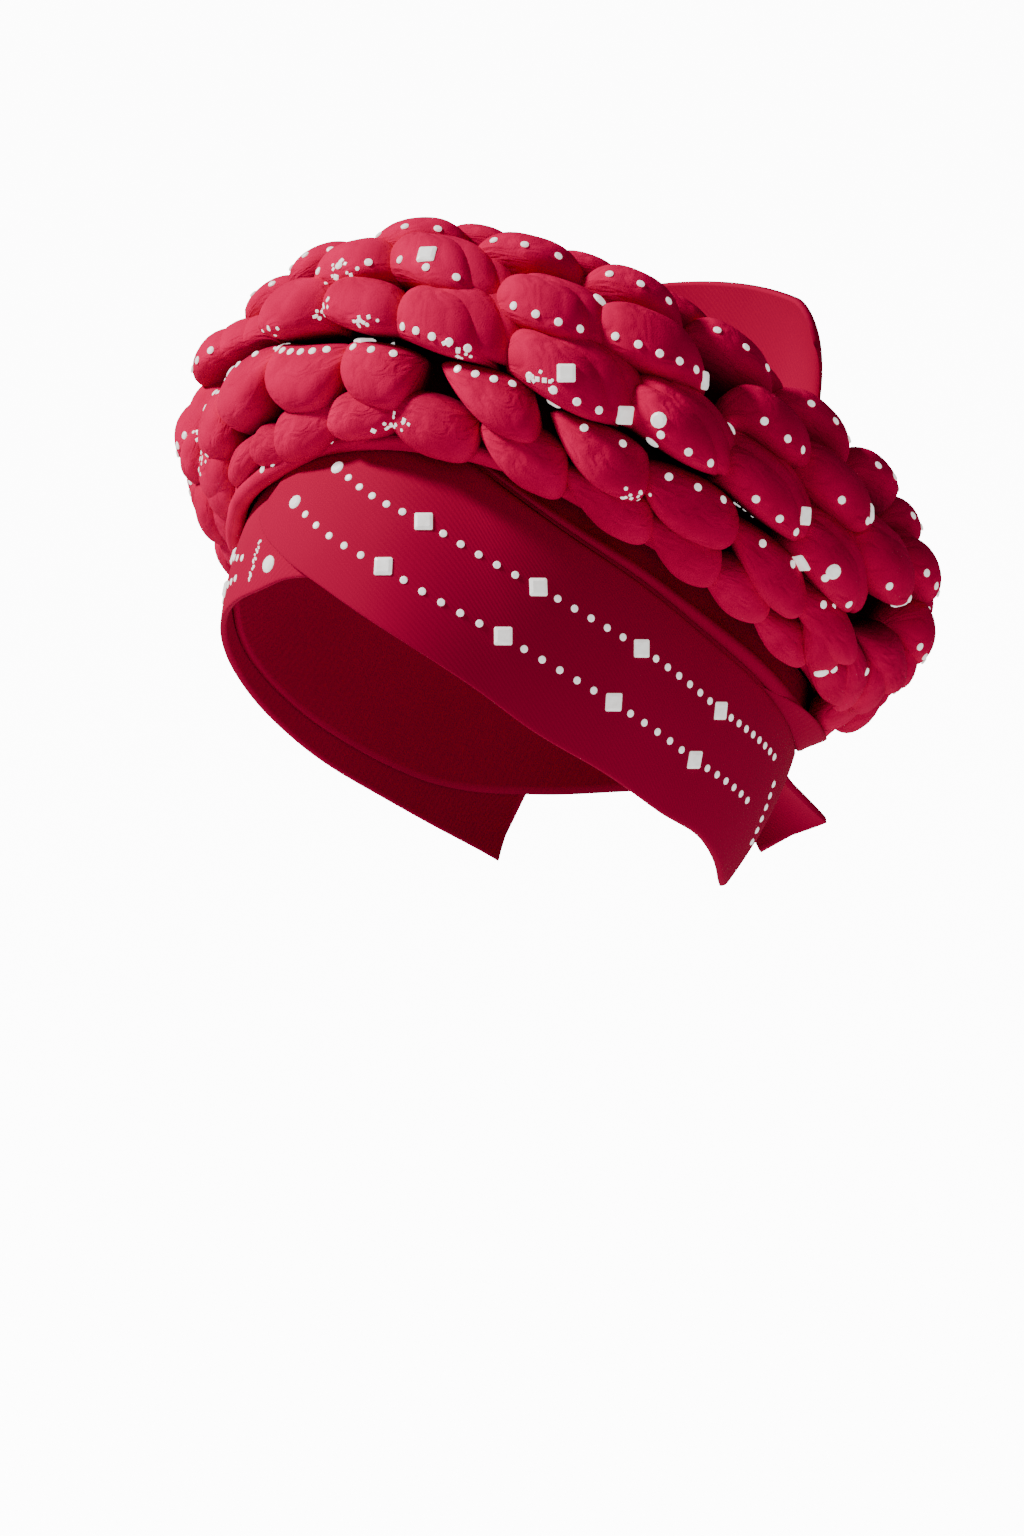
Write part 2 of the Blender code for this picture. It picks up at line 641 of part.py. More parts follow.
def back_tail(material):
    """The pointed end of the cloth, which comes out under the side wrap at the nape and hangs."""
    rows = np.array(TAIL_SECTIONS, float)
    read = smooth_table(np.column_stack([np.linspace(0, 1, len(rows)), rows]))
    lines = read(np.linspace(0, 1, 9))
    share = np.linspace(0, 1, 6)
    turn = lines[:, 0:1] + (lines[:, 1:2] - lines[:, 0:1]) * share
    drop = lines[:, 2:3] + (lines[:, 3:4] - lines[:, 2:3]) * share
    lift = CAP_CLOTH + GAP + (lines[:, 4:5] + (lines[:, 5:6] - lines[:, 4:5]) * share) * TAIL_LIFT
    points = on_head(turn, drop * BAND_DROP, lift)
    tail = new_object("back_tail", points.reshape(-1, 3), grid_faces(9, 6)[:, ::-1], material)
    add_wall(tail, TAIL_CLOTH)
    return tail


def surface_of(thing):
    """The finished faces of a piece, as a tree that answers rays."""
    bpy.context.view_layer.update()
    graph = bpy.context.evaluated_depsgraph_get()
    evaluated = thing.evaluated_get(graph)
    mesh = evaluated.to_mesh()
    mesh.calc_loop_triangles()
    points = [vertex.co.copy() for vertex in mesh.vertices]
    faces = [tuple(triangle.vertices) for triangle in mesh.loop_triangles]
    evaluated.to_mesh_clear()
    return BVHTree.FromPolygons(points, faces)


def set_stone(name, shape, size, surface, above, inwards, material):
    """A cut stone with a flat table, laid flat on the surface that a ray meets from a point above it."""
    inwards = Vector(inwards).normalized()
    middle, normal, _, _ = surface.ray_cast(Vector(above), inwards)
    outwards = (normal - inwards * 1.2).normalized()
    turn = outwards.to_track_quat("Z", "Y").to_matrix()
    half = size / 2
    square = shape == "square"
    tallest = 0.0
    for ring in (0.25, 0.50, 0.80, 1.06):
        for step in range(36):
            angle = math.tau * step / 36
            across, along = math.cos(angle), math.sin(angle)
            reach = half * ring / (max(abs(across), abs(along)) if square else 1.0)
            spot = middle + turn @ Vector((reach * across, reach * along, 0.0))
            touch, _, _, _ = surface.ray_cast(spot + outwards * RAY_START, -outwards)
            if touch is not None:
                tallest = max(tallest, (touch - spot).dot(outwards))

    sides = 4 if square else 10
    radius = half * math.sqrt(2) if square else half
    thick = SQUARE_THICK if square else ROUND_THICK
    mesh = bpy.data.meshes.new(name)
    form = bmesh.new()
    bmesh.ops.create_cone(
        form, cap_ends=True, segments=sides, radius1=radius, radius2=radius * 0.62, depth=thick * 0.6
    )
    if square:
        bmesh.ops.rotate(form, verts=form.verts, matrix=Matrix.Rotation(math.pi / 4, 3, "Z"))
    bmesh.ops.translate(form, verts=form.verts, vec=(0, 0, thick * 0.7))
    under = [face for face in form.faces if face.normal.z < -0.9]
    drawn = bmesh.ops.extrude_face_region(form, geom=under)
    bmesh.ops.delete(form, geom=under, context="FACES_ONLY")
    moved = [v for v in drawn["geom"] if isinstance(v, bmesh.types.BMVert)]
    bmesh.ops.translate(form, verts=moved, vec=(0, 0, -thick * 0.4))
    bmesh.ops.recalc_face_normals(form, faces=form.faces)
    form.to_mesh(mesh)
    form.free()
    stone = bpy.data.objects.new(name, mesh)
    stone.data.materials.append(material)
    stone.location = middle + outwards * (tallest + STONE_GAP)
    stone.rotation_euler = turn.to_euler()
    COLLECTION.objects.link(stone)
    return stone


def band_stones(left, right, material):
    surfaces = {"left": surface_of(left), "right": surface_of(right)}
    for number, (side, turn, share) in enumerate(BAND_SQUARES, start=1):
        above = on_head(turn, share * BAND_DROP, RAY_START)
        inwards = on_head(turn, share * BAND_DROP, 0.0) - above
        name = f"stone_band_{side}_{number}"
        set_stone(name, "square", SQUARE_STONE, surfaces[side], above, inwards, material)
    for name, side, turn, share, size in BAND_ROUNDS:
        above = on_head(turn, share * BAND_DROP, RAY_START)
        inwards = on_head(turn, share * BAND_DROP, 0.0) - above
        set_stone(f"stone_band_{name}", "round", ROUND_STONE * size, surfaces[side], above, inwards, material)


def crown_stones(crown, material):
    surface = surface_of(crown)
    for number, (shape, turn, across, share) in enumerate(CROWN_STONES, start=1):
        core, middle, half_height, _ = (float(part) for part in ring_section(np.array(float(turn))))
        sine, cosine = math.sin(math.radians(across)), math.cos(math.radians(across))
        base = from_ring(float(turn), core, middle)
        above = from_ring(
            float(turn), core + 2 * RAY_START * cosine, middle + (half_height + RAY_START) * sine
        )
        size = (SQUARE_STONE if shape == "square" else ROUND_STONE) * share
        set_stone(f"stone_crown_{shape}_{number}", shape, size, surface, above, base - above, material)


def start_scene():
    for thing in list(bpy.data.objects):
        bpy.data.objects.remove(thing, do_unlink=True)


def plain_material(name, colour, roughness):
    material = bpy.data.materials.new(name)
    material.use_nodes = True
    shader = material.node_tree.nodes["Principled BSDF"]
    shader.inputs["Base Color"].default_value = (*colour, 1.0)
    shader.inputs["Roughness"].default_value = roughness
    shader.inputs["Metallic"].default_value = 0.0
    return material


start_scene()
COLLECTION = bpy.data.collections.new("pleated_turban")
bpy.context.scene.collection.children.link(COLLECTION)

crimson = plain_material("crimson crepe", (0.46, 0.006, 0.045), 0.85)
stone_glass = plain_material("clear stone", (0.72, 0.70, 0.70), 0.12)

inner_cap(crimson)
under = CAP_CLOTH + GAP
over = under + BAND_CLOTH + GAP
right_band = band(
    "front_band_right",
    RIGHT_BAND_SECTIONS,
    lambda share: np.full_like(share, under),
    crimson,
    steps=28,
    across_steps=8,
    leftwards=False,
)
left_band = band(
    "front_band_left",
    LEFT_BAND_SECTIONS,
    lambda share: under + (over - under) * ease((0.46 - share) / 0.16),
    crimson,
    steps=36,
    across_steps=8,
    leftwards=True,
)
side_wrap(crimson)
crown = puff_crown(crimson)
back_fan(crimson)
back_tail(crimson)
band_stones(left_band, right_band, stone_glass)
crown_stones(crown, stone_glass)
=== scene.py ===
"""A pleated turban in crimson crepe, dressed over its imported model.

Everything is in metres in the model's own frame: origin at the inside top of the fitted cap, +Z up, the
face towards -Y and the wearer's left towards +X. Two round systems carry the shapes. The head form is a
pair of half ellipsoids, on which cap, bands and side wrap lie at named offsets. The crown ring has its own
tilted frame, in which a puff is placed by turn (degrees round the ring, 0 at the front, 90 at the wearer's
left) and across (degrees round the ring's section, 0 outermost, 90 on top).
"""

import math
import bpy
import numpy as np
from mathutils import Matrix, Vector
from mathutils.bvhtree import BVHTree


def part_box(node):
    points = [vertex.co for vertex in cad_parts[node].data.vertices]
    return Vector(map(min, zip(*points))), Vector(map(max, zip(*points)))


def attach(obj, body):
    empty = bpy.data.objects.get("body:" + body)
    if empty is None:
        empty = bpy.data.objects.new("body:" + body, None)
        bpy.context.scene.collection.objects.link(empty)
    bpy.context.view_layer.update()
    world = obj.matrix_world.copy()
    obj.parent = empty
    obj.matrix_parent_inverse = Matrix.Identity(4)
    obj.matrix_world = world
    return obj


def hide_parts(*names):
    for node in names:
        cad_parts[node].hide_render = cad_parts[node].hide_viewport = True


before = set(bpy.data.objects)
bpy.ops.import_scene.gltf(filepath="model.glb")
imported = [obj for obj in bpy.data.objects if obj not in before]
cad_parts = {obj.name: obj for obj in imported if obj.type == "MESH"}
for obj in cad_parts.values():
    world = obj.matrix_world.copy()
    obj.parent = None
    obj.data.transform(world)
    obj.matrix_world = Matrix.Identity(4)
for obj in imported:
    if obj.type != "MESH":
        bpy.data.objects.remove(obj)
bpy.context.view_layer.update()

# the head form
HEAD_HALF_WIDTH = 0.078
HEAD_HALF_LENGTH = 0.098
HEAD_UPPER_HALF = 0.100
HEAD_LOWER_HALF = 0.108

# cloth and clearances
CAP_CLOTH = 0.0018
BAND_CLOTH = 0.0022
FAN_CLOTH = 0.0026
TAIL_CLOTH = 0.0022
GAP = 0.0005
BAND_DROP = 0.178

# the crown ring
RING_BACK = 0.026
RING_DROP = 0.0575
RING_TILT = 38.0
RING_HIGH_SIDE = 16.0
RING_REACH = 0.122
RING_TOP = 0.040
RING_HEM = 0.040
RING_OUTER_HALF = 0.029
RING_INNER_HALF = 0.030
PIT_DEPTH = 0.016
PIT_FLOOR = 0.021
PUFF_DEPTH = 0.020
HEM_SINK = 0.011
PUFF_END = 0.35
FULLNESS = 1.06
DOME_HEIGHT = 1.16
TOP_HEIGHT = 1.18
BELLY_HEIGHT = 1.08
HEM_TUCK = 0.008

# the side wrap and the flaps
WRAP_ROLL = 0.0085
WRAP_CORD = 0.0030
HEM_ROLL = 0.0021
HEM_FRONT_TURN = -24.0
HEM_FRONT_SPREAD = 26.0
HEM_FRONT_DROP = 0.0035
HEM_FRONT_CLOSER = 0.0026
HEM_DOT = 0.0026
FLECK = 0.0010
WRAP_TUCK = 0.0068
WRAP_SEAM = 0.0014
FAN_HALF_WIDTH = 0.0675
FAN_TOP = 0.003
FAN_INSIDE_RING = 0.018
FAN_BACK = RING_REACH - FAN_INSIDE_RING
FAN_HOLLOW = 0.014
FAN_CORNER_RADIUS = 0.012
FAN_FOOT_TURN = 36.0
FAN_FOOT_DROP = 0.088
TAIL_LIFT = 0.0245

# stones
SQUARE_STONE = 0.0056
CROWN_DOT = 0.0026
BAND_DOT = 0.0024

# where the camera stood: turn round the object, height and roll in degrees, distance, and the size of one
# of the photograph's pixels at the origin's distance
CAMERA_TURN = 50.0
CAMERA_HEIGHT = 12.0
CAMERA_ROLL = 9.0
CAMERA_DISTANCE = 1.8
PIXEL = 0.000318
ORIGIN_PIXEL = (467, 355)
MIDDLE_PIXEL = (512, 768)
PICTURE_HEIGHT = 1536

# the floor
FLOOR_DROP = 0.8
FLOOR_REACH = 30.0

# colours
CRIMSON_LIT = "#E00050"
CRIMSON = "#C40042"
# painted shade: the dark of the pits and of the puffs' low sides
CRIMSON_PAINTED_SHADE = "#340010"
CRIMSON_FLAT = "#B2003C"
CRIMSON_FLAT_DARK = "#A40034"
STONE_WHITE = "#FFFEFC"
STONE_GREY = "#D8D4CE"
PAPER_WHITE = "#FFFFFF"
LENS_WHITE = 12.0
SURROUND_LIGHT = 0.09

# The ring's section at each turn, as shares of RING_REACH, RING_TOP and RING_HEM: outermost radius, height
# of the top, how low the puffs hang and how low the crown is sewn down.
RING_SECTIONS = [
    # turn, reach, top, hang, foot
    (-180, 1.06, 0.82, 1.02, 0.84),
    (-135, 1.01, 0.88, 1.02, 0.90),
    (-90, 0.97, 1.02, 0.94, 0.86),
    (-45, 1.00, 1.12, 0.86, 0.79),
    (-20, 1.01, 1.10, 0.81, 0.72),
    (0, 1.02, 1.17, 0.73, 0.62),
    (20, 1.01, 1.28, 0.68, 0.56),
    (40, 0.99, 1.18, 0.79, 0.62),
    (60, 0.97, 1.08, 0.98, 0.78),
    (80, 0.96, 0.86, 1.12, 0.88),
    (100, 0.96, 0.70, 1.23, 0.95),
    (120, 0.99, 0.66, 1.27, 0.99),
    (150, 1.04, 0.76, 1.16, 0.94),
]

# The puffs on the side that shows, row by row. A dome rises above its lip and a belly hangs below it.
# turn and across place the middle of the lip, lean turns the lip and skew turns the body, in degrees, and
# sag is how far the middle of the lip hangs below its ends.
PUFFS = [
    # row, kind, turn, across, width mm, body mm, lean, skew, sag mm, collar, dots
    ("upper", "dome", -1, -2, 35, 28, -17, 28, 7, 0, 0),
    ("upper", "dome", 11, 17, 38, 31, -4, -11, 8, 0, 3),
    ("upper", "dome", 26, 13, 40, 34, -12, -17, 8, 1, 3),
    ("upper", "dome", 45, 3, 36, 27, -2, -13, 7, 1, 4),
    ("upper", "dome", 62, 7, 43, 29, 5, -13, 7, 0, 5),
    ("upper", "dome", 85, 5, 31, 24, 0, -14, 7, 1, 3),
    ("upper", "dome", 102, -3, 35, 26, 2, -22, 8, 1, 2),
    ("upper", "dome", 119, -18, 38, 27, 10, -30, 8, 1, 2),
    ("middle", "dome", 15, -9, 38, 23, -16, 0, 6, 0, 0),
    ("middle", "dome", 29, -18, 35, 26, -8, -6, 4, 1, 5),
    ("middle", "dome", 50, -27, 38, 26, -5, -18, 6, 1, 4),
    ("middle", "dome", 70, -25, 33, 23, 0, -30, 5, 1, 3),
    ("middle", "dome", 88, -28, 34, 23, -2, -34, 4, 1, 3),
    ("middle", "dome", 105, -38, 37, 22, -5, -23, 3, 1, 2),
    ("middle", "belly", -25, -8, 28, 28, 22, 32, 1, 0, 3),
    ("middle", "belly", -11, -1, 34, 25, 0, 6, 3, 0, 3),
    ("middle", "belly", 4, -9, 36, 24, -14, 0, 4, 0, 6),
    ("middle", "belly", 18, -15, 29, 23, -10, 4, 1, 0, 3),
    ("middle", "belly", 36, -20, 31, 25, 0, 32, 1, 0, 4),
    ("middle", "belly", 56, -27, 33, 23, 3, 24, 0, 0, 2),
    ("middle", "belly", 73, -28, 38, 22, 8, 21, -2, 0, 3),
    ("middle", "belly", 91, -33, 36, 25, 3, 38, -1, 0, 2),
    ("middle", "belly", 104, -40, 28, 34, 24, 68, -1, 0, 1),
    ("middle", "belly", 131, -25, 30, 30, 32, 68, 0, 0, 0),
    ("hem", "belly", -30, -72, 32, 23, -22, -42, 0, 0, 0),
    ("hem", "belly", -27, -41, 29, 21, -6, -12, 1, 0, 2),
    ("hem", "belly", -16, -63, 30, 19, -6, -40, 0, 0, 0),
    ("hem", "belly", -11, -45, 28, 18, 0, -42, 1, 0, 0),
    ("hem", "belly", -3, -48, 22, 16, -30, -40, 0, 0, 0),
    ("hem", "belly", 4, -40, 31, 23, -3, -20, -2, 0, 0),
    ("hem", "belly", 15, -38, 30, 19, 4, 0, -3, 0, 0),
    ("hem", "belly", 27, -41, 32, 26, -2, 10, -2, 0, 0),
    ("hem", "belly", 43, -45, 29, 26, 7, 22, -2, 0, 0),
    ("hem", "belly", 59, -54, 31, 22, 7, 32, -1, 0, 0),
    ("hem", "belly", 74, -56, 28, 24, 22, 40, 0, 0, 0),
    ("hem", "belly", 86, -62, 27, 23, 32, 58, 0, 0, 0),
    ("hem", "belly", 102, -69, 30, 22, 14, 62, 0, 0, 0),
    ("hem", "belly", 120, -64, 30, 29, 26, 72, 0, 0, 1),
    ("hem", "belly", 111, -37, 32, 28, -8, 24, 1, 0, 2),
    ("hem", "belly", 128, -46, 32, 27, -6, 40, 1, 0, 1),
]

# The same pattern where it doesn't show, and over the top: each row runs from one turn to another.
PUFF_ROWS = [
    # row, kind, first turn, last turn, count, across, width mm, body mm, lean, skew, sag mm, collar, dots
    ("upper", "dome", 136, 332, 12, 6, 37, 25, 0, -6, 7, 1, 4),
    ("middle", "dome", 145, 323, 11, -22, 37, 24, 0, -8, 5, 1, 4),
    ("middle", "belly", 145, 323, 11, 0, 33, 23, 0, 0, 2, 0, 3),
    ("hem", "belly", 137, 333, 12, -28, 34, 25, 0, 10, 0, 0, 3),
    ("hem", "belly", 146, 324, 11, -56, 34, 24, 0, 10, 0, 0, 0),
    ("top", "dome", 18, 358, 18, 44, 38, 24, 0, 0, 6, 0, 3),
    ("rim", "dome", 28, 368, 18, 72, 36, 23, 0, 0, 5, 0, 0),
    ("rim", "dome", 18, 358, 18, 102, 30, 20, 0, 0, 4, 0, 0),
]

# The closed outline of a puff from lip to body's end: along the body as a share of its length, and height
# over the pit floor as a share of PIT_DEPTH.
# The height also sets the painted shade of the cloth: darker towards the pit floor.
PUFF_OUTLINES = {
    "dome": [
        # along, height
        (0.34, -0.40),
        (0.20, 0.00),
        (0.06, 0.42),
        (0.00, 0.72),
        (0.02, 0.87),
        (0.11, 0.96),
        (0.29, 1.01),
        (0.50, 0.98),
        (0.72, 0.84),
        (0.90, 0.52),
        (1.00, 0.08),
        (0.90, -0.40),
    ],
    "belly": [
        # along, height
        (0.30, -0.40),
        (0.04, -0.10),
        (-0.12, 0.26),
        (-0.09, 0.46),
        (-0.01, 0.64),
        (0.09, 0.76),
        (0.30, 0.87),
        (0.58, 0.99),
        (0.80, 0.99),
        (0.94, 0.82),
        (1.00, 0.48),
        (0.97, 0.10),
        (0.80, -0.40),
    ],
}

# The point of a puff's outline where its dots sit, and one a little further on, as along and height.
DOT_PLACES = {"dome": [(0.11, 0.965), (0.15, 0.975)], "belly": [(0.12, 0.78), (0.16, 0.80)]}

LEFT_BAND_SECTIONS = [
    # lower turn, lower drop, upper turn, upper drop, drops as shares of BAND_DROP
    (-11.5, 0.190, -10.5, 0.165),
    (-6, 0.215, -6, 0.110),
    (3, 0.250, 4, 0.088),
    (15, 0.305, 16, 0.078),
    (28, 0.388, 29, 0.088),
    (40, 0.485, 42, 0.120),
    (52, 0.596, 55, 0.200),
    (65, 0.691, 68, 0.293),
    (79, 0.792, 82, 0.396),
    (92, 0.860, 97, 0.522),
    (103, 0.930, 113, 0.640),
    (110, 0.975, 127, 0.738),
    (115, 0.998, 139, 0.812),
]

RIGHT_BAND_SECTIONS = [
    # lower turn, lower drop, upper turn, upper drop
    (12, 0.282, 13, 0.140),
    (3, 0.286, 4, 0.112),
    (-5, 0.306, -6, 0.118),
    (-17, 0.340, -18, 0.140),
    (-30, 0.400, -32, 0.200),
    (-44, 0.500, -47, 0.300),
    (-58, 0.620, -62, 0.400),
    (-72, 0.735, -78, 0.500),
    (-87, 0.835, -94, 0.600),
    (-100, 0.915, -110, 0.695),
    (-115, 0.995, -139, 0.800),
]

NAPE_EDGE = [
    # turn, drop of the line that the side wrap stands on
    (150, 0.835),
    (165, 0.850),
    (180, 0.855),
    (195, 0.845),
    (210, 0.820),
]

WRAP_SECTIONS = [
    # turn, height as a share of BAND_DROP, roll as a share of WRAP_ROLL
    (44, 0.030, 0.25),
    (53, 0.046, 0.45),
    (62, 0.066, 0.60),
    (75, 0.092, 0.75),
    (86, 0.112, 0.85),
    (98, 0.130, 0.95),
    (112, 0.130, 0.95),
    (127, 0.125, 0.90),
    (145, 0.120, 0.90),
    (165, 0.080, 1.00),
    (180, 0.072, 1.00),
    (200, 0.080, 1.00),
    (221, 0.110, 1.00),
    (250, 0.080, 0.80),
    (272, 0.050, 0.50),
]

TAIL_SECTIONS = [
    # left turn, right turn, left drop, right drop, left lift, right lift as shares of TAIL_LIFT
    (146, 190, 0.780, 0.780, 0.00, 0.00),
    (152, 188, 0.850, 0.855, 0.00, 0.00),
    (155, 186, 0.885, 0.900, 0.15, 0.10),
    (158, 181, 0.930, 0.960, 0.50, 0.32),
    (162, 172, 0.989, 1.045, 1.00, 0.62),
]

CAP_HEM = [
    # turn, drop as a share of BAND_DROP
    (0, 0.215),
    (25, 0.300),
    (50, 0.500),
    (75, 0.690),
    (100, 0.830),
    (130, 0.900),
    (155, 0.920),
    (180, 0.920),
]

# Where the small stones run between the large ones, in two rows on each band and round its end.
BAND_DOT_LINES = [
    # first turn, first drop, last turn, last drop as shares of BAND_DROP, count
    (10, 0.115, 34, 0.213, 5),
    (34, 0.213, 57, 0.353, 5),
    (57, 0.353, 78, 0.497, 5),
    (78, 0.497, 98, 0.650, 6),
    (98, 0.650, 124, 0.800, 8),
    (124, 0.812, 119, 0.955, 6),
    (1, 0.165, 26, 0.275, 5),
    (26, 0.275, 48, 0.422, 5),
    (48, 0.422, 69, 0.576, 5),
    (69, 0.576, 89, 0.722, 5),
    (89, 0.722, 114, 0.860, 6),
    (-12, 0.262, -34, 0.285, 4),
    (-34, 0.285, -57, 0.440, 5),
    (-57, 0.440, -78, 0.575, 5),
    (-78, 0.575, -98, 0.700, 6),
    (-98, 0.700, -124, 0.810, 7),
    (-14, 0.290, -27, 0.330, 3),
    (-27, 0.330, -48, 0.475, 5),
    (-48, 0.475, -69, 0.635, 5),
    (-69, 0.635, -89, 0.765, 5),
    (-89, 0.765, -114, 0.870, 6),
]

# The beads sewn along the crown's hem, by turn of the ring.
HEM_DOTS = [-9, -6, -1.5, 0, 2, 7, 13, 16, 18, 20, 23.5, 36, 50, 54.5, 66.5, 70, 77.5, 80, 92, 104]

# Where the puffs are knotted together and the stones are broken small.
KNOTS = [
    # turn, across, flecks
    (-1, -3, 16),
    (8, 4, 14),
    (11, 22, 10),
    (17, -10, 12),
    (22, -62, 14),
    (33, -20, 8),
    (46, -21, 10),
    (-17, -8, 12),
    (-29, -20, 10),
    (-27, -44, 8),
    (64, -55, 10),
    (86, -40, 8),
]

# Broken stones sewn close together along the end of the right band.
BAND_FLECKS = [
    # first turn, first drop, last turn, last drop as shares of BAND_DROP, count
    (-9.8, 0.228, -9.2, 0.298, 26),
]


def ease(share):
    """0 below 0, 1 above 1 and a smooth step between."""
    share = np.clip(share, 0.0, 1.0)
    return share * share * (3 - 2 * share)


def head_centre():
    return np.array([0.0, 0.0, -HEAD_UPPER_HALF])


def on_head(turn, drop, offset):
    """Points of the head form grown by offset, at a turn in degrees and a drop below the top."""
    turn = np.radians(np.asarray(turn, float))
    z = -np.asarray(drop, float)
    half = np.where(z > -HEAD_UPPER_HALF, HEAD_UPPER_HALF, HEAD_LOWER_HALF) + offset
    level = np.sqrt(np.maximum(1.0 - ((z + HEAD_UPPER_HALF) / half) ** 2, 0.0))
    across = np.sin(turn) / (HEAD_HALF_WIDTH + offset)
    along = np.cos(turn) / (HEAD_HALF_LENGTH + offset)
    radius = level / np.sqrt(across**2 + along**2)
    x, y, z = np.broadcast_arrays(radius * np.sin(turn), -radius * np.cos(turn), z)
    return np.stack([x, y, z], axis=-1)


def smooth_table(rows, closed_turn=None):
    """A function of the table's first column that passes smoothly through its other columns."""
    rows = np.array(rows, float)
    if closed_turn:
        before = rows[-2:] - np.eye(rows.shape[1])[0] * closed_turn
        after = rows[:2] + np.eye(rows.shape[1])[0] * closed_turn
        rows = np.vstack([before, rows, after])
    place, values = rows[:, 0], rows[:, 1:]
    slope = np.gradient(values, place, axis=0)

    def read(at):
        at = np.asarray(at, float)
        if closed_turn:
            at = (at - place[2]) % closed_turn + place[2]
        left = np.clip(np.searchsorted(place, at, side="right") - 1, 0, len(place) - 2)
        step = (place[left + 1] - place[left])[..., None]
        share = ((at - place[left])[..., None]) / step
        rise = values[left + 1] - values[left]
        first, last = slope[left] * step, slope[left + 1] * step
        bend = share * (1 - share)
        return values[left] + rise * share**2 * (3 - 2 * share) + bend * ((1 - share) * first - share * last)

    return read


def ring_frame():
    """The ring's centre and its three axes as columns: to the wearer's left, back, and up through it."""
    tilt, high = math.radians(RING_TILT), math.radians(RING_HIGH_SIDE)
    towards_high = np.array([math.sin(high), -math.cos(high), 0.0])
    level = np.array([0.0, 0.0, 1.0])
    up = math.cos(tilt) * level - math.sin(tilt) * towards_high
    pivot = np.cross(level, towards_high)
    tilted = math.cos(tilt) * towards_high + math.sin(tilt) * level
    left = math.sin(high) * tilted + math.cos(high) * pivot
    back = np.cross(up, left)
    return np.array([0.0, RING_BACK, -RING_DROP]), np.stack([left, back, up], axis=1)


RING_CENTRE, RING_AXES = ring_frame()


def from_ring(turn, radius, height):
    turn = np.radians(turn)
    local = np.stack(np.broadcast_arrays(radius * np.sin(turn), -radius * np.cos(turn), height), axis=-1)
    return RING_CENTRE + local @ RING_AXES.T


def to_ring(points):
    """Turn, radius and height in the ring's frame of points in the object's frame."""
    local = (points - RING_CENTRE) @ RING_AXES
    turn = np.degrees(np.arctan2(local[..., 0], -local[..., 1]))
    return turn, np.hypot(local[..., 0], local[..., 1]), local[..., 2]


def wall_radius(turn, height, offset):
    """How far out the grown head form reaches, seen from the ring's axis at a turn and height."""
    start = RING_CENTRE + np.asarray(height)[..., None] * RING_AXES[:, 2] - head_centre()
    turn = np.radians(turn)
    way = np.sin(turn)[..., None] * RING_AXES[:, 0] - np.cos(turn)[..., None] * RING_AXES[:, 1]
    offset = np.broadcast_to(offset, np.shape(height))
    found = []
    for half_height in (HEAD_UPPER_HALF, HEAD_LOWER_HALF):
        halves = np.stack(
            [HEAD_HALF_WIDTH + offset, HEAD_HALF_LENGTH + offset, half_height + offset], axis=-1
        )
        from_, along = start / halves, way / halves
        a, b = (along**2).sum(-1), (along * from_).sum(-1)
        c = (from_**2).sum(-1) - 1
        inside = b * b - a * c
        found.append(np.where(inside > 0, (-b + np.sqrt(np.maximum(inside, 0))) / a, 0.0))
    upper, lower = found
    lands_above = (start + upper[..., None] * way)[..., 2] >= 0
    return np.maximum(np.where(lands_above, upper, lower), 0.0)


def under_crown(turn, height_over_foot):
    """Offset of the crown's inner wall: over what is tucked in near its foot, down on the cap above."""
    turn = np.asarray(turn)
    crossing = ease(1.7 - np.abs((turn - 12 + 180) % 360 - 180) / 34)
    behind = ease(1.8 - np.abs(turn % 360 - 180) / 42)
    near_foot = CAP_CLOTH + BAND_CLOTH + 3 * GAP + (BAND_CLOTH + GAP) * crossing
    near_foot = np.maximum(near_foot, WRAP_TUCK)
    above = CAP_CLOTH + GAP + (FAN_CLOTH + 2 * GAP) * behind
    share = ease((height_over_foot - HEM_TUCK * 1.5) / (HEM_TUCK * 1.5))
    return near_foot + (above - near_foot) * share


def ring_section(turn):
    """Core radius, middle height, half height and the height of the foot of the section at each turn."""
    shares = smooth_table(RING_SECTIONS, closed_turn=360)(turn)
    reach = shares[..., 0] * RING_REACH
    top = shares[..., 1] * RING_TOP
    hang = -shares[..., 2] * RING_HEM
    foot = -shares[..., 3] * RING_HEM
    return reach - RING_OUTER_HALF, (top + hang) / 2, (top - hang) / 2, foot


def section_at(turn):
    """The ring's section at one turn, as plain numbers."""
    return [float(part) for part in ring_section(np.array(float(turn)))]


def on_crown(turn, across, sink):
    """Points of the crown's outer form, sunk by a depth in metres, kept clear of the cap and bands."""
    core, middle, half_height, foot = ring_section(turn)
    sine, cosine = np.sin(np.radians(across)), np.cos(np.radians(across))
    half = np.where(cosine > 0, RING_OUTER_HALF, RING_INNER_HALF)
    radius = core + (half - sink) * cosine
    floor = np.where(sine < 0, middle - foot, half_height - PIT_DEPTH)
    share = 1 - sink / PIT_DEPTH
    height = middle + (floor + (half_height - floor) * share) * sine
    wall = wall_radius(turn, height, under_crown(turn, height - foot) + 0.0004)
    return from_ring(turn, np.maximum(radius, wall), height)


def linear(hex_colour):
    """Linear red, green, blue and alpha of an sRGB hex colour."""
    parts = [int(hex_colour[i : i + 2], 16) / 255 for i in (1, 3, 5)]
    return [p / 12.92 if p <= 0.04045 else ((p + 0.055) / 1.055) ** 2.4 for p in parts] + [1.0]


def add_object(name, data):
    """A new object in the scene."""
    thing = bpy.data.objects.new(name, data)
    bpy.context.scene.collection.objects.link(thing)
    return thing


def set_inputs(tree, node, inputs):
    """Set a node's inputs to values, or link them from sockets."""
    for name, value in inputs.items():
        if isinstance(value, bpy.types.NodeSocket):
            tree.links.new(value, node.inputs[name])
        else:
            node.inputs[name].default_value = value


